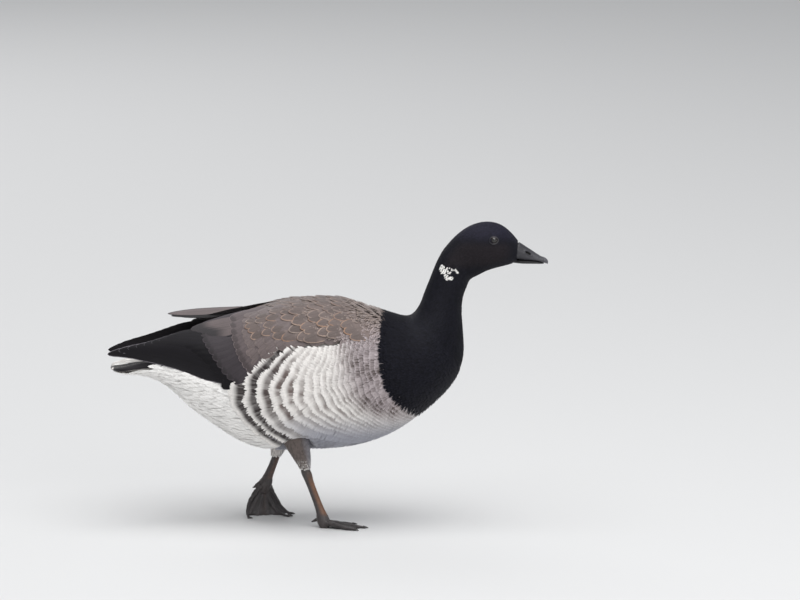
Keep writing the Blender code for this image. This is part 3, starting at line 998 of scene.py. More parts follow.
def along_spine(points):
    """The field of feathers that lie straight back along the body: length from the tail."""
    rows, columns = points.shape[:2]
    return np.repeat(np.linspace(0, SPINE_LENGTH, rows)[:, None], columns, axis=1)


def level_of(x):
    """The value of that field where the spine passes x."""
    return u_of(x) * SPINE_LENGTH


SPINE_FLOW = Flow(OUTLINE, along_spine)
FLESH_FLOW = Flow(FLESH, along_spine)

HEAD_VANE = Vane(length=3.2, width=1.15, thickness=0.1, camber=0.08, tip=0.0, rows=3, widest=0.5, blunt=1.5)
NECK_VANE = Vane(length=7.5, width=2.1, thickness=0.22, camber=0.12, tip=0.05, rows=3, widest=0.5, blunt=1.5)
BREAST_VANE = Vane(length=11, width=3.6, thickness=0.26, camber=0.16, tip=0.05, rows=4, widest=0.5, blunt=1.6)
ALL_ROUND = (0.0, 1.0)


def shades(count, rng, spare=0.08):
    """How bright each of so many feathers is, around 1."""
    return rng.uniform(1 - spare, 1 + spare, count)[:, None]


def coat_piece(name, material, batches, slot, *nodes):
    """Feathers as a finished piece."""
    finish_piece(feather_mesh(name, batches, material), slot, *nodes)


# The white patch on the side of the neck, as strokes: their points (x, z) and half their width.
PATCH_STROKES = (
    (((113.4, 261.0), (112.8, 257.5), (116.0, 254.3), (119.2, 249.8), (123.0, 250.3)), 1.9),
    (((114.0, 259.5), (121.0, 256.0)), 1.4),
    (((118.0, 260.6), (126.4, 257.8), (129.8, 255.8)), 0.8),
)


def from_segment(places, start, end):
    """How far places are from the line between two points."""
    start, along = np.array(start), np.subtract(end, start)
    share = np.clip((places - start) @ along / (along @ along), 0, 1)
    return np.linalg.norm(places - start - share[:, None] * along, axis=1)


def patch_share(points):
    """How far the tips of feathers at these points are white."""
    places = points[:, [0, 2]] / MM
    share = np.zeros(len(points))
    for stroke, half_width in PATCH_STROKES:
        for start, end in zip(stroke, stroke[1:]):
            share = np.maximum(share, smoothstep(1.2, 0.8, from_segment(places, start, end) / half_width))
    return share


FACE_END = 188.6  # x of the spine where the plumage meets the bill
BILL_BASE = level_of(FACE_END)
BILL_SINK = 0.8  # how much lower the plumage lies there
SHORT_BY_BILL = 0.25  # size of its smallest feathers, by the bill
SHORT_BY_EDGE = 0.75  # and of those at the rear edge of the breast
PATCH_WHITE = linear(238, 236, 232)
SHORT_BY_EDGE_TO = 14  # millimetres ahead of it over which they grow to full size
PATCH_SHARE = 0.95  # of the feathers in the white patch are white


# The tracts of the black coat: vane, rear and front x, and the steps between rows and in a row.
BLACK_TRACTS = {
    "face": (HEAD_VANE, (148, FACE_END), 0.9, 0.72),
    "nape": (HEAD_VANE, (129, 148), 1.0, 0.8),
    "neck": (NECK_VANE, (110, 129), 1.8, 1.3),
    "breast": (BREAST_VANE, (30, 110), 2.5, 1.8),
}
BLACK_LOOK = {"roughness": 0.6, "sheen": 0.03, "specular": 0.13, "barb": 0.9, "barb_contrast": 0.06}


def black_coat():
    """Head, neck and breast."""
    rng = np.random.default_rng(11)
    material = plumage("plumage_black", **BLACK_LOOK)
    for name, (vane, (rear, front), row_step, side_step) in BLACK_TRACTS.items():
        levels = levels_between(level_of(rear), level_of(front), row_step)
        tips = SPINE_FLOW.rows(levels, ALL_ROUND, side_step, rng)
        found = OUTLINE.point(*tips[:2])
        kept = on_bib(found) & off_eyes(found)
        tips = tuple(column[kept] for column in tips)
        x, _, z = found[kept].T / MM
        from_bill = BILL_BASE - tips[2]
        size = np.clip((from_bill + 0.5) / vane.length, SHORT_BY_BILL, 1)
        size = size * mix_numbers(SHORT_BY_EDGE, 1, smoothstep(0, SHORT_BY_EDGE_TO, x - bib_edge(z)))
        sunk = BILL_SINK * smoothstep(5, 0, from_bill)
        batch, tips, _ = cover(SPINE_FLOW, tips, vane, rng, None, size, sunk=sunk)
        white = patch_share(tips) * (rng.uniform(0, 1, len(tips)) < PATCH_SHARE)
        coat = Coat(
            base=plumage_colour(tips) * shades(len(tips), rng, 0.3),
            bar=PATCH_WHITE,
            bar_start=-1.0,
            bar_end=rng.uniform(1.6, 3.2, len(tips)),
            bar_strength=np.where(white > 0.5, 1.0, 0.0),
        )
        coat_piece("coat_" + name, material, [(*batch, coat)], "plumage_black")


# The brown back.  Its small feathers by the breast grow into the broad scapulars behind.
MANTLE_VANE = Vane(length=18, width=4.6, thickness=0.3, camber=0.2, tip=0.4, rows=7, widest=0.5, blunt=1.5)
SCAPULAR_VANE = Vane(length=46, width=15, thickness=0.5, camber=0.4, tip=1.0, rows=12, blunt=1.8, columns=7)
BACK_RANGE = (0.27, 0.73)  # v of the back on the body's chart
SLOPE_LEVEL = 205.0  # height where the slanting rows have their x
# The scapulars and the mantle: vane, slope of the rows, their rear and front x, steps between rows and in a
# row, height down to which the tips come, how pale the feathers are, and jitter.
BACK_TRACTS = (
    (SCAPULAR_VANE, 0.5, (-78, 10), 13.0, 8.5, 196.0, 0.0, 0.22),
    (MANTLE_VANE, 1.5, (-12, 92), 6.5, 3.0, BACK_LEVEL - 5, 1.0, 0.3),
)


def back_marks(tips, vane, pale, rng):
    """The coat of feathers of the back, which look like the mantle's where pale is 1."""
    count = len(tips)
    x, _, z = (tips / MM).T
    rusty = rng.uniform(0, 1, count) * (1 - 0.85 * pale)
    streaked = pale * smoothstep(214, 192, z) * smoothstep(-5, 25, x)
    middle = mix(mix(BROWN, MANTLE, pale * rng.uniform(0.2, 1, count)), STREAKED, streaked * 0.5)
    plain = smoothstep(208, 221, z) * (1 - pale)
    fringe = mix(mix(BUFF, RUST, rusty), STREAKED, streaked)
    return Coat(
        base=middle * shades(count, rng, 0.1),
        fringe=mix(fringe, BROWN * 1.3, plain * 0.7) * shades(count, rng, 0.05),
        fringe_width=rng.uniform(0.9, 1.7, count) * (1 - 0.6 * pale),
        bar=BROWN * 0.6,
        bar_start=1.3,
        bar_end=vane.length * 0.3,
        bar_strength=rng.uniform(0.3, 0.9, count) * (1 - 0.3 * streaked),
    )


def back_coat():
    """The scapulars and the mantle, in rows that slant over the back."""
    rng = np.random.default_rng(21)
    material = plumage("plumage_back", barb=0.8, barb_contrast=0.06, shaft=0.25, edge_fray=0.8)
    batches = []
    for vane, slope, (rear, front), row_step, side_step, lowest, pale, jitter in BACK_TRACTS:
        flow = Flow(OUTLINE, lambda points: points[..., 0] + slope * (points[..., 2] - SLOPE_LEVEL))
        tips = flow.rows(levels_between(rear, front, row_step), BACK_RANGE, side_step, rng, jitter=jitter)

        def on_tract(found):
            return (found[:, 2] / MM > lowest + rng.normal(0, 2, len(found))) & ~on_bib(found)

        batch, tips, _ = cover(flow, tips, vane, rng, on_tract, spare=0.16)
        batches.append((*batch, back_marks(tips, vane, pale, rng)))
    coat_piece("coat_back", material, batches, "plumage_body")


# The flank: thin locks close together in rows that bow backwards.  Each has a white end and a brown bar,
# which is measured from the row and so runs on from lock to lock.
FLANK_VANE = Vane(length=34, width=3.5, thickness=0.24, camber=0.2, tip=0.15, rows=7, widest=0.6, blunt=2.1)
HEM = 0.05  # v of the flank's lower edge, from the belly's middle
FLANK_RANGES = {"right": (HEM, 0.37), "left": (0.63, 1 - HEM)}
FLANK_ENDS = (-98.0, 56.0)  # of the field, at the rearmost row and the foremost one
FLANK_MIDDLE = 143.0  # height that the rows bow round
FLANK_BOW = (0.0125, 0.017)  # below the middle and above it
FLANK_BOW_LIMIT = (60, 50)  # heights below and above it where the rows stop bowing
FLANK_AHEAD = (-60, 45)  # x over which they turn to follow the edge of the black breast
FLANK_WAVES = ((0.9, 0.17, 0.09), (0.6, 0.31, -0.13))  # height of a wave in the rows, and its turn by z and x
ROW_GAPS = (13.5, 5.6)  # between rows, behind and ahead
ROW_GAPS_FROM = (-85, 10)  # values of the field over which the one turns into the other
FLANK_STEP = 0.9
FLANK_JITTER = 0.08
FLANK_FOOT = 81.0  # height of its lowest tips
FLANK_UNDER_WING = 2.5  # how far its tips go on above the wing's lower edge
BIB_MARGIN = 2.5  # no tips nearer than this to the black breast, whose own feathers end there
FLANK_SINK = 1.0  # how much lower its feathers lie where the black breast covers them
HEM_SINK = 0.7  # the same along its lower edge, so that it runs into the belly
PATCHINESS = 0.6  # how far the bars ahead come and go along a row
BY_BREAST = 0.9  # share of the streaked colour next to the black breast


def flank_field(points):
    """Behind, rows bow backwards round FLANK_MIDDLE, and ahead they follow the edge of the black breast."""
    x, _, z = np.moveaxis(points, -1, 0)
    ahead = smoothstep(*FLANK_AHEAD, x)
    below = np.clip(FLANK_MIDDLE - z, 0, FLANK_BOW_LIMIT[0])
    above = np.clip(z - FLANK_MIDDLE, 0, FLANK_BOW_LIMIT[1])
    bow = FLANK_BOW[0] * below**2 + FLANK_BOW[1] * above**2
    waves = sum(rise * np.sin(z * by_z + x * by_x) for rise, by_z, by_x in FLANK_WAVES)
    return x - mix_numbers(bow, bib_edge(z) - BIB_X, ahead) + waves


def flank_gap(level):
    """How far apart the flank's rows are at a level."""
    return mix_numbers(*ROW_GAPS, smoothstep(*ROW_GAPS_FROM, level))


NO_WING = 300.0  # a height over the whole bird, for where the wing has ended


def wing_foot(x):
    """Height of the wing's lower edge over the flank."""
    edge = WINGS["right"].points[::-1, -1] / MM
    return np.interp(x, edge[:, 0], edge[:, 2], right=NO_WING)


def breast_share(x, z):
    """How much the pale feathers at a place look like those next to the black breast."""
    return smoothstep(54, 18, bib_edge(z) - x) * smoothstep(98, 130, z)


def sunk_by_bib(x, z):
    """How much lower the pale feathers lie next to the black breast, whose own cover them."""
    return FLANK_SINK * smoothstep(14, 0, bib_edge(z) - x)


def on_flank(tips, rng):
    """Under the wing and the back, over the belly, and behind the black breast."""
    x, _, z = (tips / MM).T
    ragged = rng.normal(0, 0.6, len(x))
    top = np.minimum(wing_foot(x) + FLANK_UNDER_WING, BACK_LEVEL + 8 * smoothstep(5, 30, x))
    return (z + ragged < top) & (x < bib_edge(z) - BIB_MARGIN) & (z > FLANK_FOOT)


def flank_marks(x, z, level, rng):
    """The coat of the flank for tips at x and z on rows at these levels."""
    count = len(level)
    gap = flank_gap(level)
    rear = smoothstep(-50, -85, level) * smoothstep(0, -40, x)
    by_breast = breast_share(x, z)
    lower = smoothstep(88, 124, z)
    faint = smoothstep(-50, -20, x) * (1 - by_breast) * (0.35 + 0.35 * smoothstep(125, 150, z))
    strength = (0.85 + 0.15 * rear) * (1 - faint) * (0.12 + 0.88 * np.maximum(lower, rear))
    patchy = np.sin(z * 0.31 + level * 2.1) * np.sin(z * 0.17 + level * 0.9)
    strength = strength * rng.uniform(0.8, 1.05, count) * (1 - PATCHINESS * patchy * (1 - rear))
    strength = strength * (1 - by_breast * rng.uniform(0, 0.55, count))
    white = mix(mix(WHITE, BELLY, (1 - lower) * (1 - rear)), STREAKED, by_breast * BY_BREAST)
    return Coat(
        base=white * shades(count, rng, 0.06),
        bar=mix(mix(BAR, DARK_BAR, rear), DARK_BAR, 0.6 * by_breast) * shades(count, rng, 0.08),
        bar_start=gap * (0.56 - 0.14 * rear - 0.34 * by_breast),
        bar_end=gap * 1.3,
        bar_strength=np.clip(strength, 0, 1),
    )


def flank_coat():
    """The two flanks, alike but for their side."""
    material = plumage("plumage_flank", barb=0.8, barb_contrast=0.03, edge_fray=0.3, bar_softness=0.3)
    flow = Flow(OUTLINE, flank_field)
    levels = levels_between(*FLANK_ENDS, flank_gap)
    for label, v_range in FLANK_RANGES.items():
        rng = np.random.default_rng(31)
        tips = flow.rows(levels, v_range, FLANK_STEP, rng, jitter=FLANK_JITTER)
        x, _, z = OUTLINE.point(*tips[:2]).T / MM
        hem = smoothstep(HEM + 0.035, HEM, np.minimum(tips[1], 1 - tips[1]))
        sunk = np.maximum(sunk_by_bib(x, z), HEM_SINK * hem)
        size = 0.5 + 0.5 * smoothstep(30, -60, tips[2])
        batch, tips, level = cover(flow, tips, FLANK_VANE, rng, None, size, spare=0.06, sunk=sunk)
        kept = on_flank(tips, rng)
        vertices, *batch = (part[kept] for part in batch[:-1])
        level = levels[np.abs(level[kept, None] - levels).argmin(axis=1)]  # of its row
        x, _, z = (tips[kept] / MM).T
        coat = flank_marks(x, z, level, rng)
        coat.from_tip = flank_field(vertices / MM) - level[:, None]
        coat_piece("coat_flank_" + label, material, [(vertices, *batch, FLANK_VANE, coat)], "plumage_body")


BELLY_SINK = 0.5  # how much lower the belly's feathers lie under the flank's
BELLY_TUCK = 16.0  # how far up they go on there
BELLY_HALF = 0.3  # v to which their rows run, either side of the belly's middle
BELLY_ENDS = (-100, 128)  # x of their rearmost and foremost rows
BELLY_STEPS = (3.6, 2.8)  # between rows and in a row
BETWEEN_FLANKS = (30, 30, 140)  # ahead of this x, within this |y| and below this z there is belly only
VENT_ENDS = (-214, -70)
VENT_STEPS = (5.0, 4.0)
WING_COVERS = (1.5, 18, -200)  # so far below its edge, beyond this |y| and ahead of this x
BELLY_VANE = Vane(length=15, width=4.4, thickness=0.18, camber=0.15, tip=-0.3, rows=4, blunt=1.8)
VENT_VANE = Vane(length=24, width=6.5, thickness=0.18, camber=0.2, tip=0.0, rows=5, widest=0.5, blunt=1.5)


def behind_flank(tips):
    """Where tips are further back than the rearmost row of the flanks."""
    return flank_field(tips / MM) < FLANK_ENDS[0] - 2


def on_belly(tips):
    """Below the flanks, and between them up to the black breast."""
    x, y, z = (tips / MM).T
    front, side, top = BETWEEN_FLANKS
    between = (x > front) & (np.abs(y) < side) & (z < top)
    return ((z < FLANK_FOOT + BELLY_TUCK) | between) & ~on_bib(tips) & ~behind_flank(tips)


def on_vent(tips):
    """Behind the flanks, where neither the wings nor the tail's own feathers show."""
    x, y, z = (tips / MM).T
    below, side, rear = WING_COVERS
    under_wing = (z > wing_foot(x) - below) & (np.abs(y) > side) & (x > rear)
    return behind_flank(tips) & off_tail_edges(tips) & ~under_wing


def belly_coat():
    """The pale feathers of the belly and, in the same material, those round the tail."""
    rng = np.random.default_rng(41)
    material = plumage("plumage_pale", barb=0.8, barb_contrast=0.03, edge_fray=0.8)
    levels = levels_between(*map(level_of, BELLY_ENDS), BELLY_STEPS[0])
    tips = SPINE_FLOW.rows(levels, (-BELLY_HALF, BELLY_HALF), BELLY_STEPS[1], rng)
    x, _, z = OUTLINE.point(*tips[:2]).T / MM
    sunk = np.maximum(BELLY_SINK * smoothstep(FLANK_FOOT - 2, FLANK_FOOT + 5, z), sunk_by_bib(x, z))
    batch, tips, _ = cover(SPINE_FLOW, tips, BELLY_VANE, rng, on_belly, sunk=sunk)
    count = len(tips)
    x, _, z = (tips / MM).T
    coat = Coat(
        base=mix(plumage_colour(tips), STREAKED, breast_share(x, z) * BY_BREAST) * shades(count, rng, 0.05),
        bar=BAR,
        bar_start=1.6,
        bar_end=3.2,
        bar_strength=rng.uniform(0, 0.3, count) * smoothstep(-70, -50, x),
    )
    coat_piece("coat_belly", material, [(*batch, coat)], "plumage_body")
    vent_coat(rng, material)


def vent_coat(rng, material):
    """The white coverts under and over the tail, and the dark rump."""
    levels = levels_between(*map(level_of, VENT_ENDS), VENT_STEPS[0])
    tips = FLESH_FLOW.rows(levels, ALL_ROUND, VENT_STEPS[1], rng)
    batch, tips, _ = cover(FLESH_FLOW, tips, VENT_VANE, rng, on_vent)
    coat = Coat(base=vent_colour(tips) * shades(len(tips), rng, 0.07))
    coat_piece("coat_vent", material, [(*batch, coat)], "plumage_tail")


# The look of the long feathers of wing and tail.
QUILL_LOOK = {"roughness": 0.5, "sheen": 0.06, "specular": 0.15, "barb": 1.1, "barb_contrast": 0.07}
# The tail's own feathers show behind this x, beyond this |y| and above this z.
TAIL_BARE = (-182.0, 12.0, 157.0)
TAIL_BARE_SLOPE = 0.4  # how fast that x falls with height
TAIL_LEVEL = 163.0  # height where it is as given
TAIL_COVERTS_END = -216.0  # x behind which there are no coverts
TAIL_ENDS = (-160.0, -218.4)  # x of their roots and of their tips
TAIL_ACROSS = (0.245, 0.755)  # v of the outermost tips
TAIL_FEATHERS = 16
TAIL_ROUND = 1.6  # how much shorter its outermost feathers are
TAIL_GATHER = 0.8  # how close together their roots are, as a share of that of their tips
TAIL_DEPTH = 2.9  # of the middle feathers under the chart
TAIL_SPREAD = 2.3  # how much higher the outermost lie
TAIL_ROOTS = 0.8  # how much deeper their roots lie
TAIL_DARK = linear(28, 25, 29)
TAIL_EDGE = linear(150, 146, 142)
TAIL_VANE = Vane(width=10, root=0.7, widest=0.7, blunt=2.2, thickness=0.3, camber=0.15, rows=10, columns=5)


def off_tail_edges(tips):
    """Leaves the sides of the tail bare, where its own feathers show between the coverts."""
    x, y, z = (tips / MM).T
    front = TAIL_BARE[0] - TAIL_BARE_SLOPE * (z - TAIL_LEVEL)
    bare = (x < front) & (np.abs(y) > TAIL_BARE[1]) & (z > TAIL_BARE[2])
    return ~bare & (x > TAIL_COVERTS_END)


def tail_coat():
    """The tail's own feathers, the outermost two with a white tip."""
    rng = np.random.default_rng(61)
    across = np.linspace(*TAIL_ACROSS, TAIL_FEATHERS)
    outwards = np.abs(np.linspace(-1, 1, TAIL_FEATHERS))
    ends = uv_places(u_of(TAIL_ENDS[1] + TAIL_ROUND * outwards**2), across)
    starts = uv_places(u_of(TAIL_ENDS[0]), 0.5 + (across - 0.5) * TAIL_GATHER)
    height = -TAIL_DEPTH + TAIL_SPREAD * outwards**2
    batch = quills(FLESH, starts, ends, TAIL_VANE, height - TAIL_ROOTS, height)
    coat = Coat(
        base=TAIL_DARK * shades(TAIL_FEATHERS, rng),
        fringe=TAIL_EDGE,
        fringe_width=0.3,
        bar=WHITE,
        bar_start=-1.0,
        bar_end=2.6,
        bar_strength=np.where(outwards > 0.9, 1.0, 0.1),
    )
    material = plumage("plumage_tail", **QUILL_LOOK, shaft=0.4)
    coat_piece("tail_quills", material, [(*batch, coat)], "plumage_tail")


# ------------------------------------------------------------------------------------------------- wings

PRIMARY_VANE = Vane(
    width=15, root=0.9, widest=0.55, blunt=2.3, thickness=0.35, camber=0.3, rows=14, columns=5
)
SECONDARY_VANE = Vane(width=15, root=0.9, widest=0.6, blunt=2.4, thickness=0.3, camber=0.3, rows=9, columns=5)
COVERT_VANE = Vane(width=11, root=0.8, widest=0.75, blunt=2.2, thickness=0.35, camber=0.3, rows=11, columns=7)
TERTIAL_VANE = Vane(width=19, root=0.7, widest=0.6, blunt=2.0, thickness=0.4, camber=0.4, rows=9, columns=5)
LESSER_VANE = Vane(length=17, width=11, thickness=0.25, camber=0.25, tip=-0.3, rows=7, blunt=2.0, columns=5)
COVERT_LOOK = {"barb": 1.1, "barb_contrast": 0.06, "shaft": 0.25, "bar_softness": 0.3}
WING_FEATHERS = 9  # primaries that show, and as many secondaries
LESSER_FEATHERS = 10  # in a row
LESSER_ROWS = (0.13, 0.46, 0.032)  # u of the first row, an end past the last, and the step
LESSER_JITTER = 0.004  # in u and v
LESSER_SINK = 1.6  # how much deeper they lie where the scapulars cover them
LESSER_COVERED = (0.34, 0.24)  # u over which that comes in
TERTIALS = 4
PRIMARY_EDGE = linear(120, 116, 122)
SECONDARY = linear(16, 14, 18)
BROWN_BLACK = linear(44, 40, 43)
GREATER = linear(56, 50, 54)
MEDIAN = linear(90, 80, 81)
LESSER = linear(104, 93, 92)
LESSER_EDGE = linear(128, 115, 110)


def quills(chart, starts, ends, vane, root_height, tip_height, bend=0.0, size=1.0):
    """Long feathers between places on a chart, bowed sideways by bend: what feather_mesh() takes."""
    shares = vane.shares()
    us, vs = (starts[:, [k]] + (ends - starts)[:, [k]] * shares for k in (0, 1))
    vs = vs + np.asarray(bend)[..., None] * np.sin(math.pi * shares)
    length = np.linalg.norm(np.diff(chart.point(us, vs), axis=1), axis=-1).sum(axis=1)
    sizes = (vane.width * MM * size, root_height * MM, tip_height * MM)
    width, root_height, tip_height = (np.broadcast_to(given, len(us)) for given in sizes)
    vertices = lay(chart, us, vs, length, width, root_height, tip_height, vane)
    return vertices, length, width, bake_places(us[:, 0], vs[:, 0]), vane


# In each of the next functions k or v goes from 0 to 1, from the longest or uppermost feather of its row to
# the last one.  Feathers end and start at places (u, v) on the wing's chart: a larger u is nearer to its tip,
# and a larger v lower.  Heights over the chart are in millimetres, so that what lies deeper is more negative.


def primaries(chart, rng):
    """The longest feathers.  The longest of them lies deepest."""
    k = np.linspace(0, 1, WING_FEATHERS)
    ends = uv_places(1.0 - 0.27 * k**0.85, 0.5 - 0.4 * k**0.7)
    starts = uv_places(0.4, 0.8 - 0.5 * k)
    root_height = -3.4 + 1.4 * k
    tip_height = -0.7 + 0.4 * k
    batch = quills(chart, starts, ends, PRIMARY_VANE, root_height, tip_height, bend=0.22 * (1 - k))
    coat = Coat(
        base=PRIMARY * shades(WING_FEATHERS, rng, 0.1),
        fringe=PRIMARY_EDGE,
        fringe_width=0.75 * (1 - k) + 0.05,
    )
    return *batch, coat


def secondaries(chart, rng):
    """The feathers over the primaries."""
    k = np.linspace(0, 1, WING_FEATHERS)
    ends = uv_places(0.535 + 0.2 * k, 1.0 - 0.72 * k**0.8)
    starts = ends - uv_places(0.22 + 0.1 * k, 0.2 - 0.1 * k)
    batch = quills(chart, starts, ends, SECONDARY_VANE, -2.6, -1.1 + 0.2 * k)
    base = SECONDARY * shades(WING_FEATHERS, rng, 0.12)
    return *batch, Coat(base=base, fringe=BROWN_BLACK, fringe_width=0.3)


def greater_line(v):
    """u of the ends of the greater coverts."""
    return 0.63 - 0.03 * v - 0.115 * v**2


def median_line(v):
    """u of the ends of the median coverts."""
    return 0.5 - 0.075 * v**2


def covert_row(chart, rng, line, count, length, height, colour, size):
    """A row of coverts that end on a line, length long in u."""
    v = np.linspace(0.0, 1.0, count)
    ends = uv_places(line(v), v)
    starts = ends - uv_places(length, 0.1 + 0.06 * v)
    batch = quills(chart, starts, ends, COVERT_VANE, height - 1.4, height, size=size)
    coat = Coat(
        base=colour * shades(count, rng, 0.06),
        fringe=colour * 2.1,
        fringe_width=0.65,
        bar=colour * 0.5,
        bar_start=0.8,
        bar_end=6.0,
        bar_strength=0.75,
    )
    return *batch, coat


def lesser_row(chart, rng, u, shift):
    """A row of the small feathers of the shoulder, shifted along the row by a share of their step."""
    v = (np.arange(LESSER_FEATHERS) + shift) / LESSER_FEATHERS + 0.02
    ends = uv_places(u - 0.05 * v**2, v) + rng.normal(0, LESSER_JITTER, (LESSER_FEATHERS, 2))
    under = LESSER_SINK * smoothstep(*LESSER_COVERED, u)
    batch = quills(chart, ends - np.array([0.075, 0.05]), ends, LESSER_VANE, -1.9 - under, -0.35 - under)
    coat = Coat(
        base=LESSER * shades(LESSER_FEATHERS, rng, 0.08),
        fringe=LESSER_EDGE * shades(LESSER_FEATHERS, rng, 0.06),
        fringe_width=0.6,
    )
    return *batch, coat


def tertials(chart, rng):
    """The inner feathers, over the others."""
    k = np.linspace(0, 1, TERTIALS)
    ends = uv_places(0.66 - 0.06 * k, 0.02 + 0.14 * k)
    starts = uv_places(0.3, 0.05 + 0.1 * k)
    batch = quills(chart, starts, ends, TERTIAL_VANE, -1.8, -0.35 - 0.1 * k)
    coat = Coat(
        base=linear(92, 82, 82) * shades(TERTIALS, rng),
        fringe=linear(50, 44, 47),
        fringe_width=1.2,
        bar=PRIMARY * 1.2,
        bar_start=-8.0,
        bar_end=17.0,
        bar_strength=0.9,
    )
    return *batch, coat


def wing_feathers(label):
    """The folded wing, laid from its deepest feathers outwards."""
    chart = WINGS[label]
    rng = np.random.default_rng(51)
    long_ones = plumage("plumage_quill_" + label, **QUILL_LOOK, shaft=0.5)
    short_ones = plumage("plumage_covert_" + label, **COVERT_LOOK)
    batches = [primaries(chart, rng), secondaries(chart, rng)]
    coat_piece("wing_quills_" + label, long_ones, batches, "plumage_wing", "wing_" + label)
    batches = [
        covert_row(chart, rng, greater_line, 11, 0.2, -0.75, GREATER, 1.15),
        covert_row(chart, rng, median_line, 9, 0.14, -0.5, MEDIAN, 1.3),
    ]
    for row, u in enumerate(np.arange(*LESSER_ROWS)):
        batches.append(lesser_row(chart, rng, u, 0.5 * (row % 2)))
    batches.append(tertials(chart, rng))
    coat_piece("wing_coverts_" + label, short_ones, batches, "plumage_wing")


TERTIAL_LINE = ((-92.0, 212.6), (-126.0, 210.2), (-160.5, 208.0))  # (x, z) of the raised blade
TERTIAL_Y = 23.6
TERTIAL_HALF = 7.0  # half the blade's width
TERTIAL_TILT = math.radians(24)
RAISED_UPPER = linear(102, 92, 92)
RAISED_LOWER = linear(30, 27, 29)
RAISED_VANE = Vane(width=14, root=0.7, widest=0.55, blunt=1.7, thickness=0.4, camber=0.3, rows=12, columns=7)


def raised_tertials():
    """The longest inner feathers of the left wing, which stand clear of it as a tilted blade."""
    u, v = np.meshgrid(np.linspace(0, 1, 30), np.linspace(-1, 1, 12), indexing="ij")
    x, z = (np.interp(u, np.linspace(0, 1, len(column)), column) for column in np.array(TERTIAL_LINE).T)
    y = TERTIAL_Y - v * TERTIAL_HALF * math.cos(TERTIAL_TILT)
    z = z - v * TERTIAL_HALF * math.sin(TERTIAL_TILT)
    chart = Chart(np.stack([x, y, z], axis=-1) * MM, closed=False)
    ends = np.array([[1.0, 0.46], [0.95, 0.7], [0.82, 0.82]])
    starts = np.array([[-0.1, 0.46], [-0.1, 0.6], [-0.1, 0.66]])
    height = np.array([0.0, -0.6, -1.1])
    batch = quills(chart, starts, ends, RAISED_VANE, height, height, size=np.array([0.95, 0.85, 0.8]))
    rng = np.random.default_rng(71)
    base = np.array([RAISED_UPPER, RAISED_LOWER, RAISED_LOWER]) * shades(3, rng)
    coat = Coat(base=base, fringe=RAISED_LOWER, fringe_width=1.2)
    material = plumage("plumage_tertials", barb=1.1, barb_contrast=0.07, shaft=0.3)
    coat_piece("tertials", material, [(*batch, coat)], "plumage_wing", "tertials_left")


# ----------------------------------------------------------------------------------------- legs and feet

SHANK_VANE = Vane(length=11, width=3.6, thickness=0.18, camber=0.12, tip=-0.05, rows=4, blunt=1.6)
SHANK_COLOURS = {"right": linear(98, 88, 84), "left": linear(196, 190, 186)}
SHANK_STEPS = (1.9, 2.0)  # between rows and in a row
SHANK_OVERLAP = 1.4  # how far the lowest tips hang over the bare leg
SHANK_SMALLEST = 0.55  # size of the feathers there
SHANK_GROWS = 40.0  # height in which they would grow by a whole feather's size


def upwards(points):
    return points[..., 2]


def shank_feathers(chart, bottom, top, colour, rng):
    """The feathers of one shank, from its bottom to its top, and their coat."""
    flow = Flow(chart, upwards)
    levels = levels_between(bottom - SHANK_OVERLAP, top, SHANK_STEPS[0])
    u, v, level = flow.rows(levels, ALL_ROUND, SHANK_STEPS[1], rng)
    count = len(level)
    size = np.clip(SHANK_SMALLEST + (level - bottom) / SHANK_GROWS, 0.5, 1) * rng.uniform(0.9, 1.1, count)
    length = SHANK_VANE.length * MM * size
    width = SHANK_VANE.width * MM * size
    us, vs = flow.trace(u, v, length, SHANK_VANE)
    heights = (np.full(count, height * MM) for height in (-SHANK_SKIN, SHANK_VANE.tip))
    vertices = lay(chart, us, vs, length, width, *heights, SHANK_VANE)
    front = smoothstep(0.3, 1, np.cos(2 * math.pi * v)) * 0.5
    coat = Coat(
        base=mix(colour, BELLY, front) * shades(count, rng, 0.2),
        bar=WHITE,
        bar_start=-1.0,
        bar_end=1.6,
        bar_strength=smoothstep(12, 2, level - bottom) * rng.uniform(0.2, 1, count),
    )
    return vertices, length, width, bake_places(us[:, 0], vs[:, 0]), SHANK_VANE, coat


def shank_coat():
    """The feathers of both shanks, side by side on the map."""
    rng = np.random.default_rng(81)
    batches = []
    for beside, (label, chart) in enumerate(SHANKS.items()):
        bottom, top = (corner[2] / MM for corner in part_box("shank_" + label))
        found, length, width, roots, *rest = shank_feathers(chart, bottom, top, SHANK_COLOURS[label], rng)
        batches.append((found, length, width, roots + np.array([0, beside]), *rest))
    material = plumage("plumage_shank", barb=0.8, barb_contrast=0.04, edge_fray=0.8)
    coat_piece("coat_shanks", material, batches, "plumage_shank")


LEG_VOXEL = 0.00055
LEG_SMOOTHING = 5
LEG_CELL = 0.0011  # size of the small scales
OFF_FLOOR = 0.05 * MM  # the soles stay this far off the floor
LEG_JOIN = 3.0  # how far a tarsus reaches into the shank and the knuckle
SCUTE = 2.5  # length of a scute on the front of the tarsus
SCUTE_HEIGHT = 0.16
TOE_SCALE = 2.1  # length of a scale along the toes
TOE_SCALE_HEIGHT = 0.1
FOLD_HEIGHT = {"right": 0.28, "left": 0.6}
FOLDS = 22  # folds of the web in a radian of its fan
KNUCKLES = {"right": (-3.0, 28.8, 6.0), "left": (-63.0, 28.4, 34.0)}  # (x, |y|, z), where the toes meet
CLAW_LENGTH = 5.5
CLAW_RADIUS = 1.35
CLAW_RINGS = 12
CLAW_SIDES = 14
CLAW_NARROW = 0.85  # its width, as a share of its height
CLAW_POINT = 0.05  # radius at its tip
CLAW_FLOOR = 0.1  # height of its lowest points
CLAW_ARCH = 0.8  # how much higher a claw begins than it ends
CLAW_HEIGHT = 0.75  # of its tip
CLAW_START = 3.4  # how far from its tip the toe now ends
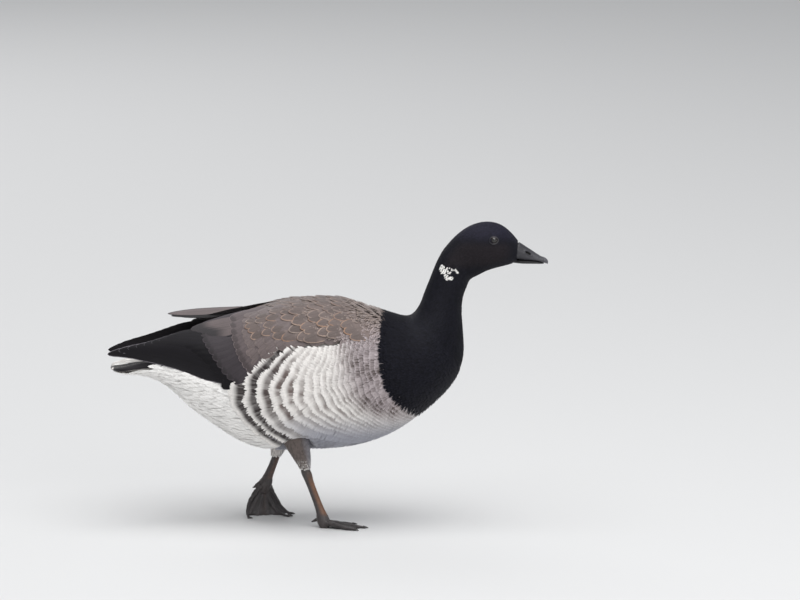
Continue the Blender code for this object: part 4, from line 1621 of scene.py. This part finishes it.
TOE_BOX = (6.5, 3.2, 4.5)  # what is drawn in for it: so far behind the tip, to its sides and above the floor
# Where the last joint of each toe begins, and its tip: (x, |y|), from the inner toe to the outer one.
TOE_ENDS = {
    "right": (((18, 17.5), (30, 13.5)), ((27, 32), (41, 34)), ((20, 43.5), (31.5, 48.5))),
    "left": (((-88, 20.6), (-75, 18.6)), ((-54, 29.4), (-35, 31)), ((-46, 39.6), (-33, 44))),
}
HIND_CLAWS = {"right": (-16.2, 24.2, 5.0), "left": (-75.6, 24.2, 30.6)}
HIND_LENGTH = 3.0
HIND_RADIUS = 0.8
HIND_AHEAD = (-0.95, -0.3)  # the way they point
LEG_DARK = linear(62, 55, 54)
LEG_WARM = linear(124, 84, 58)
WEB_DARK = linear(48, 43, 44)


def leg_material():
    g = Graph("leg_skin")
    cells = g.node("ShaderNodeTexVoronoi", feature="DISTANCE_TO_EDGE")
    g.put(cells.inputs["Vector"], g.node("ShaderNodeTexCoord").outputs["Object"])
    g.put(cells.inputs["Scale"], 1 / LEG_CELL)
    edge = g.ramp(cells.outputs["Distance"], 0.0, 0.22)
    mottle = g.noise(0.004, 4)
    tone = g.add(g.times(edge, 0.3), g.times(mottle, 0.9))
    colour = g.shaded(g.attribute("base"), tone, 0.78)
    g.bump(g.add(edge, mottle), 0.00016, 0.7)
    roughness = g.ramp(g.noise(0.006, 3), -0.15, 0.15, 0.28, 0.6)
    return g.set(Base_Color=colour, Roughness=roughness, Coat_Weight=0.2, Coat_Roughness=0.3)


def extended(grid, length):
    """The rings of a limb with one more beyond either end, a little narrower."""
    ends = []
    for ring, inner in ((grid[0], grid[3]), (grid[-1], grid[-4])):
        middle = ring.mean(axis=0)
        outwards = unit(middle - inner.mean(axis=0))
        ends.append(middle + (ring - middle) * 0.85 + outwards * length)
    return np.concatenate([ends[:1], grid, ends[1:]])


def node_mesh(node):
    """The vertices and triangles of a CAD node."""
    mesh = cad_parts[node].data
    mesh.calc_loop_triangles()
    return vertices_of(mesh), np.array([triangle.vertices[:] for triangle in mesh.loop_triangles])


def normals_of(mesh):
    """The normal at each vertex."""
    found = np.empty(len(mesh.vertices) * 3, np.float32)
    mesh.vertices.foreach_get("normal", found)
    return found.reshape(-1, 3)


def ridges(lengths, step):
    """1 on a ridge every step and 0 in the grooves between."""
    return 1 - (np.abs((lengths / step) % 1 - 0.5) * 2) ** 4


def leg_fields(points, label):
    """What the relief and the colours of a leg go by.

    Returns how far points are on the tarsus and on the spread web, their turn round the knuckle and their
    distance from it, and the folds of the web.
    """
    x, y, z = points.T / MM
    y = y * SIDES[label]
    knuckle = KNUCKLES[label]
    if label == "left":  # this foot hangs, so its web is upright
        turn = np.arctan2(x - knuckle[0], knuckle[2] - z)
    else:
        turn = np.arctan2(y - knuckle[1], x - knuckle[0])
    distance = np.sqrt((x - knuckle[0]) ** 2 + (y - knuckle[1]) ** 2 + (z - knuckle[2]) ** 2)
    on_tarsus = smoothstep(-2, 2, z - tarsus_foot(label))
    on_web = smoothstep(5, 14, distance) * (1 - on_tarsus)
    folds = np.sin(turn * FOLDS) * 0.7 + np.sin(turn * FOLDS * 2.3 + 1) * 0.3
    return on_tarsus, on_web, turn, distance, folds


def tarsus_foot(label):
    """Height of the lower end of the tarsus."""
    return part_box("tarsus_" + label)[0][2] / MM


def leg_relief(points, normals, label):
    """How far the skin of a leg rises: scutes on the tarsus, folds of the web, joints on the toes."""
    x, _, z = points.T / MM
    on_tarsus, on_web, _, distance, folds = leg_fields(points, label)
    scutes = on_tarsus * smoothstep(0.15, 0.6, normals[:, 0]) * ridges(z + 0.25 * x, SCUTE) * SCUTE_HEIGHT
    joints = on_web * (normals[:, 2] > 0.3) * ridges(distance, TOE_SCALE) * TOE_SCALE_HEIGHT
    return scutes + on_web * folds * FOLD_HEIGHT[label] * 0.5 + joints


def shorten_toes(moved, points, label):
    """Draws the ends of the toes in, to make place for the claws."""
    side = SIDES[label]
    x, y, z = points.T / MM
    for begin, end in TOE_ENDS[label]:
        ahead = unit(np.subtract(end, begin).astype(float))
        flat = np.stack([x, y * side], axis=1) - np.array(end)
        behind = -(flat @ ahead)
        beside = np.abs(flat @ np.array([-ahead[1], ahead[0]]))
        near = (beside < TOE_BOX[1]) & (behind < TOE_BOX[0]) & (z < TOE_BOX[2])
        shift = np.where(near, CLAW_START * (1 - np.clip(behind, 0, TOE_BOX[0]) / TOE_BOX[0]), 0) * MM
        moved[:, 0] -= shift * ahead[0]
        moved[:, 1] -= shift * ahead[1] * side


def leg_colour(points, normals, label):
    """Dark, with warm brown on the front of the tarsus and along a toe of the hanging foot, and painted light
    and shade on the folds of the web.
    """
    on_tarsus, on_web, turn, _, folds = leg_fields(points, label)
    up = points[:, 2] / MM - tarsus_foot(label)
    warm = on_tarsus * smoothstep(-0.35, 0.35, normals[:, 0]) * smoothstep(48, 30, up)
    if label == "left":
        warm = warm * 0.35 + 0.5 * on_web * smoothstep(0.12, 0.0, np.abs(turn + 0.05))
    colour = mix(mix(LEG_DARK, LEG_WARM, np.clip(warm, 0, 1) * 0.8), WEB_DARK, on_web * 0.8)
    # Painted light on the ridges of the web's folds and painted shade in their grooves.
    return colour * (1 + 0.35 * on_web * folds)[:, None]


def leg(label, material):
    """Tarsus, toes and web as one skin with scutes and folds."""
    tarsus = tube(extended(limb_chart("tarsus_" + label).points, LEG_JOIN * MM))
    thing = make_mesh("leg_" + label, *joined(tarsus, node_mesh("foot_" + label)), material)
    remesh(thing, LEG_VOXEL, LEG_SMOOTHING)
    points = vertices_of(thing.data)
    normals = normals_of(thing.data)
    moved = points + normals * (leg_relief(points, normals, label) * MM)[:, None]
    shorten_toes(moved, points, label)
    moved[:, 2] = np.maximum(moved[:, 2], OFF_FLOOR)
    move_vertices(thing.data, moved)
    paint(thing.data, leg_colour(points, normals, label))
    finish_piece(thing, "leg_skin", "tarsus_" + label, "foot_" + label)


def claw_rings(tip, ahead, side, length, radius):
    """The rings of a claw that arches down to its tip."""
    turn = np.linspace(0, 2 * math.pi, CLAW_SIDES, endpoint=False)
    tip = np.array(tip)
    ahead = np.array([ahead[0], ahead[1], 0.0])
    across = np.array([-ahead[1], ahead[0], 0.0])
    round_ = np.cos(turn)[:, None] * across * CLAW_NARROW + np.sin(turn)[:, None] * UP
    rings = []
    for s in np.linspace(0, 1, CLAW_RINGS):
        middle = tip - ahead * length * (1 - s) + UP * (CLAW_ARCH * (1 - s**2))
        rings.append(middle + round_ * (radius * (1 - s) ** 0.6 + CLAW_POINT))
    points = np.array(rings)
    points[..., 1] *= side
    points[..., 2] = np.maximum(points[..., 2], CLAW_FLOOR)
    return points[:, ::side] * MM


def claw_material():
    g = Graph("claw")
    grain = g.noise(0.0008, 3, (0.3, 1, 1))
    shade = g.blend(g.add(grain, 0.5), linear(30, 27, 28), linear(58, 53, 52))
    g.bump(grain, 0.00008)
    return g.set(Base_Color=shade, Roughness=0.3, Coat_Weight=0.4)


def claws():
    """The claws of both feet, each at the end of a toe."""
    found = []
    for label, side in SIDES.items():
        for begin, end in TOE_ENDS[label]:
            ahead = unit(np.subtract(end, begin).astype(float))
            found.append(claw_rings((*end, CLAW_HEIGHT), ahead, side, CLAW_LENGTH, CLAW_RADIUS))
        found.append(claw_rings(HIND_CLAWS[label], HIND_AHEAD, side, HIND_LENGTH, HIND_RADIUS))
    finish_piece(make_mesh("claws", *joined(*map(tube, found)), claw_material()), "leg_skin")


# ------------------------------------------------------------------------------------------- bill and eyes

BILL_ROWS = 170
BILL_COLUMNS = 150
BILL_REACH = 0.03
BILL_SMOOTHING = 4
# The planes that the halves of the bill are read in, first and last: (x, z, lean), where the lean in degrees
# is towards the head.
BILL_PLANES = {
    "bill_upper": ((190.2, 276.2, 11.5), (220.3, 264.4, 4.0)),
    "bill_lower": ((188.2, 265.4, 3.0), (216.2, 263.4, 0.0)),
}
BILL_LINE = ((188, 267.8), (203, 266.7), (211, 265.7), (217, 264.0))  # (x, z), where the halves meet
BILL_INTO_HEAD = 3.0
BILL_ROUND = 0.92  # the share of its length where the tip starts to round off
BILL_POINT = 1.07  # the share where it would end in a point
BILL_OVERLAP = 1.0  # the lower rim goes up so far into the upper half, so that no light shows between
GAPE = (193, 187.5)  # x over which the lower half gets narrower towards the head
GAPE_NARROWER = 0.4
COMB_STEP = 0.9
COMB_RISE = 0.09
NOSTRIL = (200.6, 274.6)  # (x, z)
NOSTRIL_SIZE = (3.2, 1.15)  # half its length and half its height
NOSTRIL_SLOPE = math.radians(-31)
NOSTRIL_DEPTH = 1.9
NOSTRIL_RIM = 0.22
# Painted shade that darkens the nostril's hollow.
NOSTRIL_PAINTED_SHADE = np.full(3, 0.004)
NAIL_START = 214.0
NAIL_RISE = 0.14
LOWER_BILL_PAINTED_SHADE = 0.25  # painted shade: the lower half of the bill is darkened to nearly black, as if in the shadow beneath it
BILL_DARK = linear(44, 43, 48)
BILL_PALE = linear(92, 92, 98)
# The nail is painted paler grey: a painted highlight of its glossy tip.
NAIL_PAINTED_HIGHLIGHT = linear(88, 87, 92)


def bill_material():
    g = Graph("bill")
    grain = g.noise(0.0006, 4)
    streak = g.noise(0.0035, 3, (0.5, 1, 1))
    colour = g.shaded(g.attribute("base"), g.add(g.times(grain, 0.35), g.times(streak, 0.7)))
    g.bump(g.add(grain, g.times(streak, 0.5)), 0.00012, 0.6)
    return g.set(
        Base_Color=colour, Roughness=0.48, Specular_IOR_Level=0.35, Coat_Weight=0.15, Coat_Roughness=0.25
    )


def bill_meet(x):
    """Height of the line between the halves of the bill at x."""
    return np.interp(x, *np.array(BILL_LINE).T)


def bill_shape(node):
    """The points and normals of half of the bill, with a rounded tip."""
    t = np.linspace(0, 1, BILL_ROWS)
    x, z, lean = (first + (last - first) * t for first, last in zip(*BILL_PLANES[node]))
    centres = np.stack([x, 0 * t, z], axis=1) * MM
    lean = np.radians(lean)
    ups = np.stack([np.sin(lean), 0 * t, np.cos(lean)], axis=1)
    grid = cast_round(surface_of(node), centres, ups, BILL_COLUMNS, BILL_REACH)
    chart = Chart(smoothed(grid, BILL_SMOOTHING), closed=True)
    centre = chart.points.mean(axis=1, keepdims=True)
    rounded = np.sqrt(1 - np.clip((t - BILL_ROUND) / (BILL_POINT - BILL_ROUND), 0, 1) ** 2)
    points = centre + (chart.points - centre) * rounded[:, None, None]
    if node == "bill_lower":
        x, _, z = np.moveaxis(points, -1, 0) / MM
        points[..., 1] *= 1 - GAPE_NARROWER * smoothstep(*GAPE, x)
        points[..., 2] += BILL_OVERLAP * MM * smoothstep(1.2, 0.3, bill_meet(x) - z)
    return points, chart.normals


def nostril(x, z):
    """The hollow of the nostril with its raised rim, as a rise, and how dark the place is, as painted shade
    in the hollow.
    """
    ahead = (x - NOSTRIL[0]) * math.cos(NOSTRIL_SLOPE) + (z - NOSTRIL[1]) * math.sin(NOSTRIL_SLOPE)
    above = (z - NOSTRIL[1]) * math.cos(NOSTRIL_SLOPE) - (x - NOSTRIL[0]) * math.sin(NOSTRIL_SLOPE)
    away = (ahead / NOSTRIL_SIZE[0]) ** 2 + (above / NOSTRIL_SIZE[1]) ** 2
    hollow = NOSTRIL_DEPTH * smoothstep(1.3, 0.0, away)
    return NOSTRIL_RIM * np.exp(-((away - 1.8) ** 2)) - hollow, smoothstep(1.1, 0.5, away)


def bill_colour(node, pale, nail, dark):
    """The colour of each place of half of the bill, from how pale, nail-like or dark it is: the nail's paler
    grey is a painted highlight, the dark of the nostril is painted shade, and the lower half is darkened by
    painted shade.
    """
    # The nail's paler grey is a painted highlight.
    colour = mix(mix(BILL_DARK, BILL_PALE, np.clip(pale, 0, 1)), NAIL_PAINTED_HIGHLIGHT, nail * 0.75)
    # Painted shade: the lower half is darkened as if it lay in the shadow beneath the bill.
    if node == "bill_lower":
        colour = colour * LOWER_BILL_PAINTED_SHADE
    return mix(colour, NOSTRIL_PAINTED_SHADE, dark)


def bill_half(node, material):
    """The upper or the lower half of the bill, with its comb, nostril and nail."""
    points, normals = bill_shape(node)
    x, y, z = np.moveaxis(points, -1, 0) / MM
    from_line = z - bill_meet(x)
    # The ridges of the strainer, along the cutting edge.
    comb = smoothstep(1.3, 0.3, np.abs(from_line)) * smoothstep(191, 196, x) * smoothstep(212, 208, x)
    rise = COMB_RISE * comb * np.sin(x * 2 * math.pi / COMB_STEP)
    pale = 0.25 * smoothstep(196, 212, x)
    if node == "bill_upper":
        # dark is the painted shade in the nostril's hollow.
        hollow, dark = nostril(x, z)
        nail = smoothstep(NAIL_START, NAIL_START + 0.6, x - 0.09 * y**2 - 0.25 * (z - 266))
        rise = rise + hollow + NAIL_RISE * nail
        cutting_edge = smoothstep(0.75, 0.25, np.abs(from_line - 0.6)) * smoothstep(210, 200, x)
        pale = pale + cutting_edge
    else:
        dark = np.zeros_like(x)
        nail = smoothstep(NAIL_START - 1, NAIL_START - 0.4, x)
    moved = points + normals * (rise * MM)[..., None]
    middle = moved[0].mean(axis=0)
    into = middle + (moved[0] - middle) * 0.86 - np.array([BILL_INTO_HEAD * MM, 0, 0])
    vertices, faces = tube(np.concatenate([into[None], moved]))

    colour = bill_colour(node, pale, nail, dark)
    colour = np.concatenate([colour[:1], colour])
    colour = np.concatenate([colour.reshape(-1, 3), colour[:1].mean(axis=1), colour[-1:].mean(axis=1)])
    thing = make_mesh(node, vertices, faces, material)
    paint(thing.data, colour)
    finish_piece(thing, "bill", node)


EYEBALL = 4.25
EYEBALL_IN = 0.75  # how much nearer to the middle plane it sits than the CAD's
CORNEA_RISE = 0.3
EYE_STEPS = (40, 64)
PUPIL = 1.7
IRIS = 3.3
PUPIL_EDGE = (PUPIL - 0.1, PUPIL + 0.15)  # where it starts and ends to turn into the iris
IRIS_EDGE = (IRIS - 0.2, IRIS + 0.2)
PUPIL_BLACK = (0.002, 0.002, 0.002)
IRIS_COLOURS = (linear(18, 12, 10), linear(32, 21, 16))
EYE_RIM = linear(20, 15, 14)
LID_INNER = (3.75, 2.8)  # half length and half height of the opening
LID_OUTER = (4.75, 4.0)
LID_STEPS = 96
# The rings of a lid, as shares of the way from its inner edge to its outer one, and back behind them.
LID_PROFILE = (0.0, 0.04, 0.16, 0.34, 0.55, 0.78, 1.0)
LID_BACK = (1.0, 0.5, 0.0)
LID_THICKNESS = 1.1
LID_SWELL = 0.26
LID_REACH = 0.05  # further out than the head, to find its side from


def eye_material():
    g = Graph("eye")
    place = g.node("ShaderNodeSeparateXYZ")
    g.put(place.inputs[0], g.node("ShaderNodeTexCoord").outputs["Object"])
    ahead, above = (g.minus(place.outputs[k], EYE_CENTRE[k]) for k in (0, 2))
    from_axis = g.times(g.math("SQRT", g.add(g.times(ahead, ahead), g.times(above, above))), 1 / MM)
    fibres = g.noise(0.0005, 3)
    iris = g.blend(g.add(fibres, 0.5), *IRIS_COLOURS)
    colour = g.blend(g.ramp(from_axis, *PUPIL_EDGE), PUPIL_BLACK, iris)
    colour = g.blend(g.ramp(from_axis, *IRIS_EDGE), colour, EYE_RIM)
    return g.set(Base_Color=colour, Roughness=0.06, Coat_Weight=1.0, Coat_Roughness=0.02, IOR=1.38)


def lid_material():
    g = Graph("lid")
    fold = g.noise(0.0007, 4)
    shade = g.blend(g.add(fold, 0.5), linear(26, 24, 27), linear(54, 51, 56))
    g.bump(fold, 0.0002, 0.8)
    return g.set(Base_Color=shade, Roughness=0.65)


def ring_faces(steps_round, steps_across):
    """The triangles of a grid that is closed both ways."""
    faces = []
    for i in range(steps_round):
        for j in range(steps_across):
            a, b = i * steps_across + j, i * steps_across + (j + 1) % steps_across
            c, d = (k % (steps_round * steps_across) for k in (b + steps_across, a + steps_across))
            faces += [(a, b, c), (a, c, d)]
    return np.array(faces)


def eyeball(centre, side):
    """The rings of an eyeball round the axis it looks along, with the cornea standing out."""
    away, round_ = np.meshgrid(
        np.linspace(0.02, math.pi - 0.02, EYE_STEPS[0]),
        np.linspace(0, 2 * math.pi, EYE_STEPS[1], endpoint=False),
        indexing="ij",
    )
    radius = EYEBALL + CORNEA_RISE * smoothstep(0.8, 0.2, away)
    outwards = [np.sin(away) * np.cos(round_), side * np.cos(away), np.sin(away) * np.sin(round_)]
    return (centre + np.stack(outwards, axis=-1) * radius[..., None]) * MM


def at_turn(size, angle):
    """The point of an ellipse of these half lengths at this turn."""
    return np.array([size[0] * math.cos(angle), size[1] * math.sin(angle)])


def eyelid(centre, side, head):
    """Rings of points round the eye's opening.  Each goes from the ball out to the head, and back behind."""
    rings = []
    for angle in np.linspace(0, 2 * math.pi, LID_STEPS, endpoint=False):
        inner, outer, beyond = (at_turn(size, angle) for size in (LID_INNER, LID_OUTER, EYE_SOCKET))
        on_ball = centre[1] * side + math.sqrt(max(EYEBALL**2 - inner @ inner, 0)) + 0.1
        spot = Vector(((centre[0] + beyond[0]) * MM, side * LID_REACH, (centre[2] + beyond[1]) * MM))
        on_head = abs(head.ray_cast(spot, Vector((0, -side, 0)))[0].y) / MM
        swells = [LID_SWELL * math.sin(math.pi * s**0.6) + 0.1 * math.sin(9 * s) for s in LID_PROFILE]
        profile = []
        for s, swell in zip(LID_PROFILE + LID_BACK, swells + [-LID_THICKNESS] * len(LID_BACK)):
            x, z = inner + (outer - inner) * s
            profile.append([centre[0] + x, side * (on_ball + (on_head - on_ball) * s + swell), centre[2] + z])
        profile[0][1] -= side * 0.5
        rings.append(profile)
    return np.array(rings)


def eye(label, ball_material, skin_of_lid, head):
    """An eyeball and the lid round it."""
    side = SIDES[label]
    centre = EYE_CENTRE / MM * np.array([1, side, 1]) - np.array([0, side * EYEBALL_IN, 0])
    vertices, faces = tube(eyeball(centre, side))
    ball = make_mesh("eye_ball_" + label, vertices, faces[:, ::-side], ball_material)
    finish_piece(ball, "eye", "eye_" + label)
    rings = eyelid(centre, side, head)
    faces = ring_faces(*rings.shape[:2])
    lid = make_mesh("eye_lid_" + label, rings.reshape(-1, 3) * MM, faces[:, ::side], skin_of_lid)
    finish_piece(lid, "plumage_black")


# ------------------------------------------------------------------------------------------------- stage

FLOOR_HALF = 60.0
FLOOR_GREY = (0.62, 0.62, 0.62)
# Each light's name, place, size and power.  They point at the bird.
LIGHTS = (
    ("sky", (0.3, -0.8, 3.2), 3.5, 120.0),
    ("front", (1.6, -3.0, 1.6), 2.0, 30.0),
    ("back", (-1.2, 3.0, 1.8), 2.0, 25.0),
)
SKY_COLOUR = (0.9, 0.92, 0.95, 1)
SKY_STRENGTH = 0.45


def make_floor():
    mesh = bpy.data.meshes.new("floor")
    corners = [(x * FLOOR_HALF, y * FLOOR_HALF, 0) for x, y in ((-1, -1), (1, -1), (1, 1), (-1, 1))]
    mesh.from_pydata(corners, [], [(0, 1, 2, 3)])
    mesh.materials.append(Graph("floor").set(Base_Color=FLOOR_GREY, Roughness=0.9))
    floor = bpy.data.objects.new("floor", mesh)
    bpy.context.scene.collection.objects.link(floor)


def make_light(name, place, size, power):
    data = bpy.data.lights.new(name, "AREA")
    data.size = size
    data.energy = power
    light = bpy.data.objects.new(name, data)
    light.location = place
    light.rotation_euler = (Vector(VIEW_CENTRE) - Vector(place)).to_track_quat("-Z", "Y").to_euler()
    bpy.context.scene.collection.objects.link(light)


def make_stage():
    """A pale floor, and soft light mostly from above."""
    make_floor()
    for light in LIGHTS:
        make_light(*light)
    world = bpy.data.worlds.new("studio")
    world.use_nodes = True
    background = world.node_tree.nodes["Background"]
    background.inputs["Color"].default_value = SKY_COLOUR
    background.inputs["Strength"].default_value = SKY_STRENGTH
    bpy.context.scene.world = world
    bpy.context.scene.view_settings.view_transform = "Standard"


def make_camera():
    """A long lens that holds the bird as a frame VIEW_WIDTH wide."""
    data = bpy.data.cameras.new("camera")
    data.sensor_width = SENSOR_WIDTH
    data.lens = SENSOR_WIDTH * VIEW_DISTANCE / VIEW_WIDTH
    data.clip_end = 200
    camera = bpy.data.objects.new("camera", data)
    towards = Vector((0, -math.cos(VIEW_ELEVATION), math.sin(VIEW_ELEVATION)))
    camera.location = Vector(VIEW_CENTRE) + towards * VIEW_DISTANCE
    camera.rotation_euler = (-towards).to_track_quat("-Z", "Y").to_euler()
    bpy.context.scene.collection.objects.link(camera)
    bpy.context.scene.camera = camera


make_stage()
make_camera()
make_skin()
black_coat()
back_coat()
flank_coat()
belly_coat()
tail_coat()
shank_coat()
leg_skin = leg_material()
for side_name in SIDES:
    wing_feathers(side_name)
    leg(side_name, leg_skin)
raised_tertials()
claws()
bill_skin = bill_material()
for half in BILL_PLANES:
    bill_half(half, bill_skin)
ball_surface = eye_material()
lid_skin = lid_material()
head_surface = surface_of("head")
for side_name in SIDES:
    eye(side_name, ball_surface, lid_skin, head_surface)
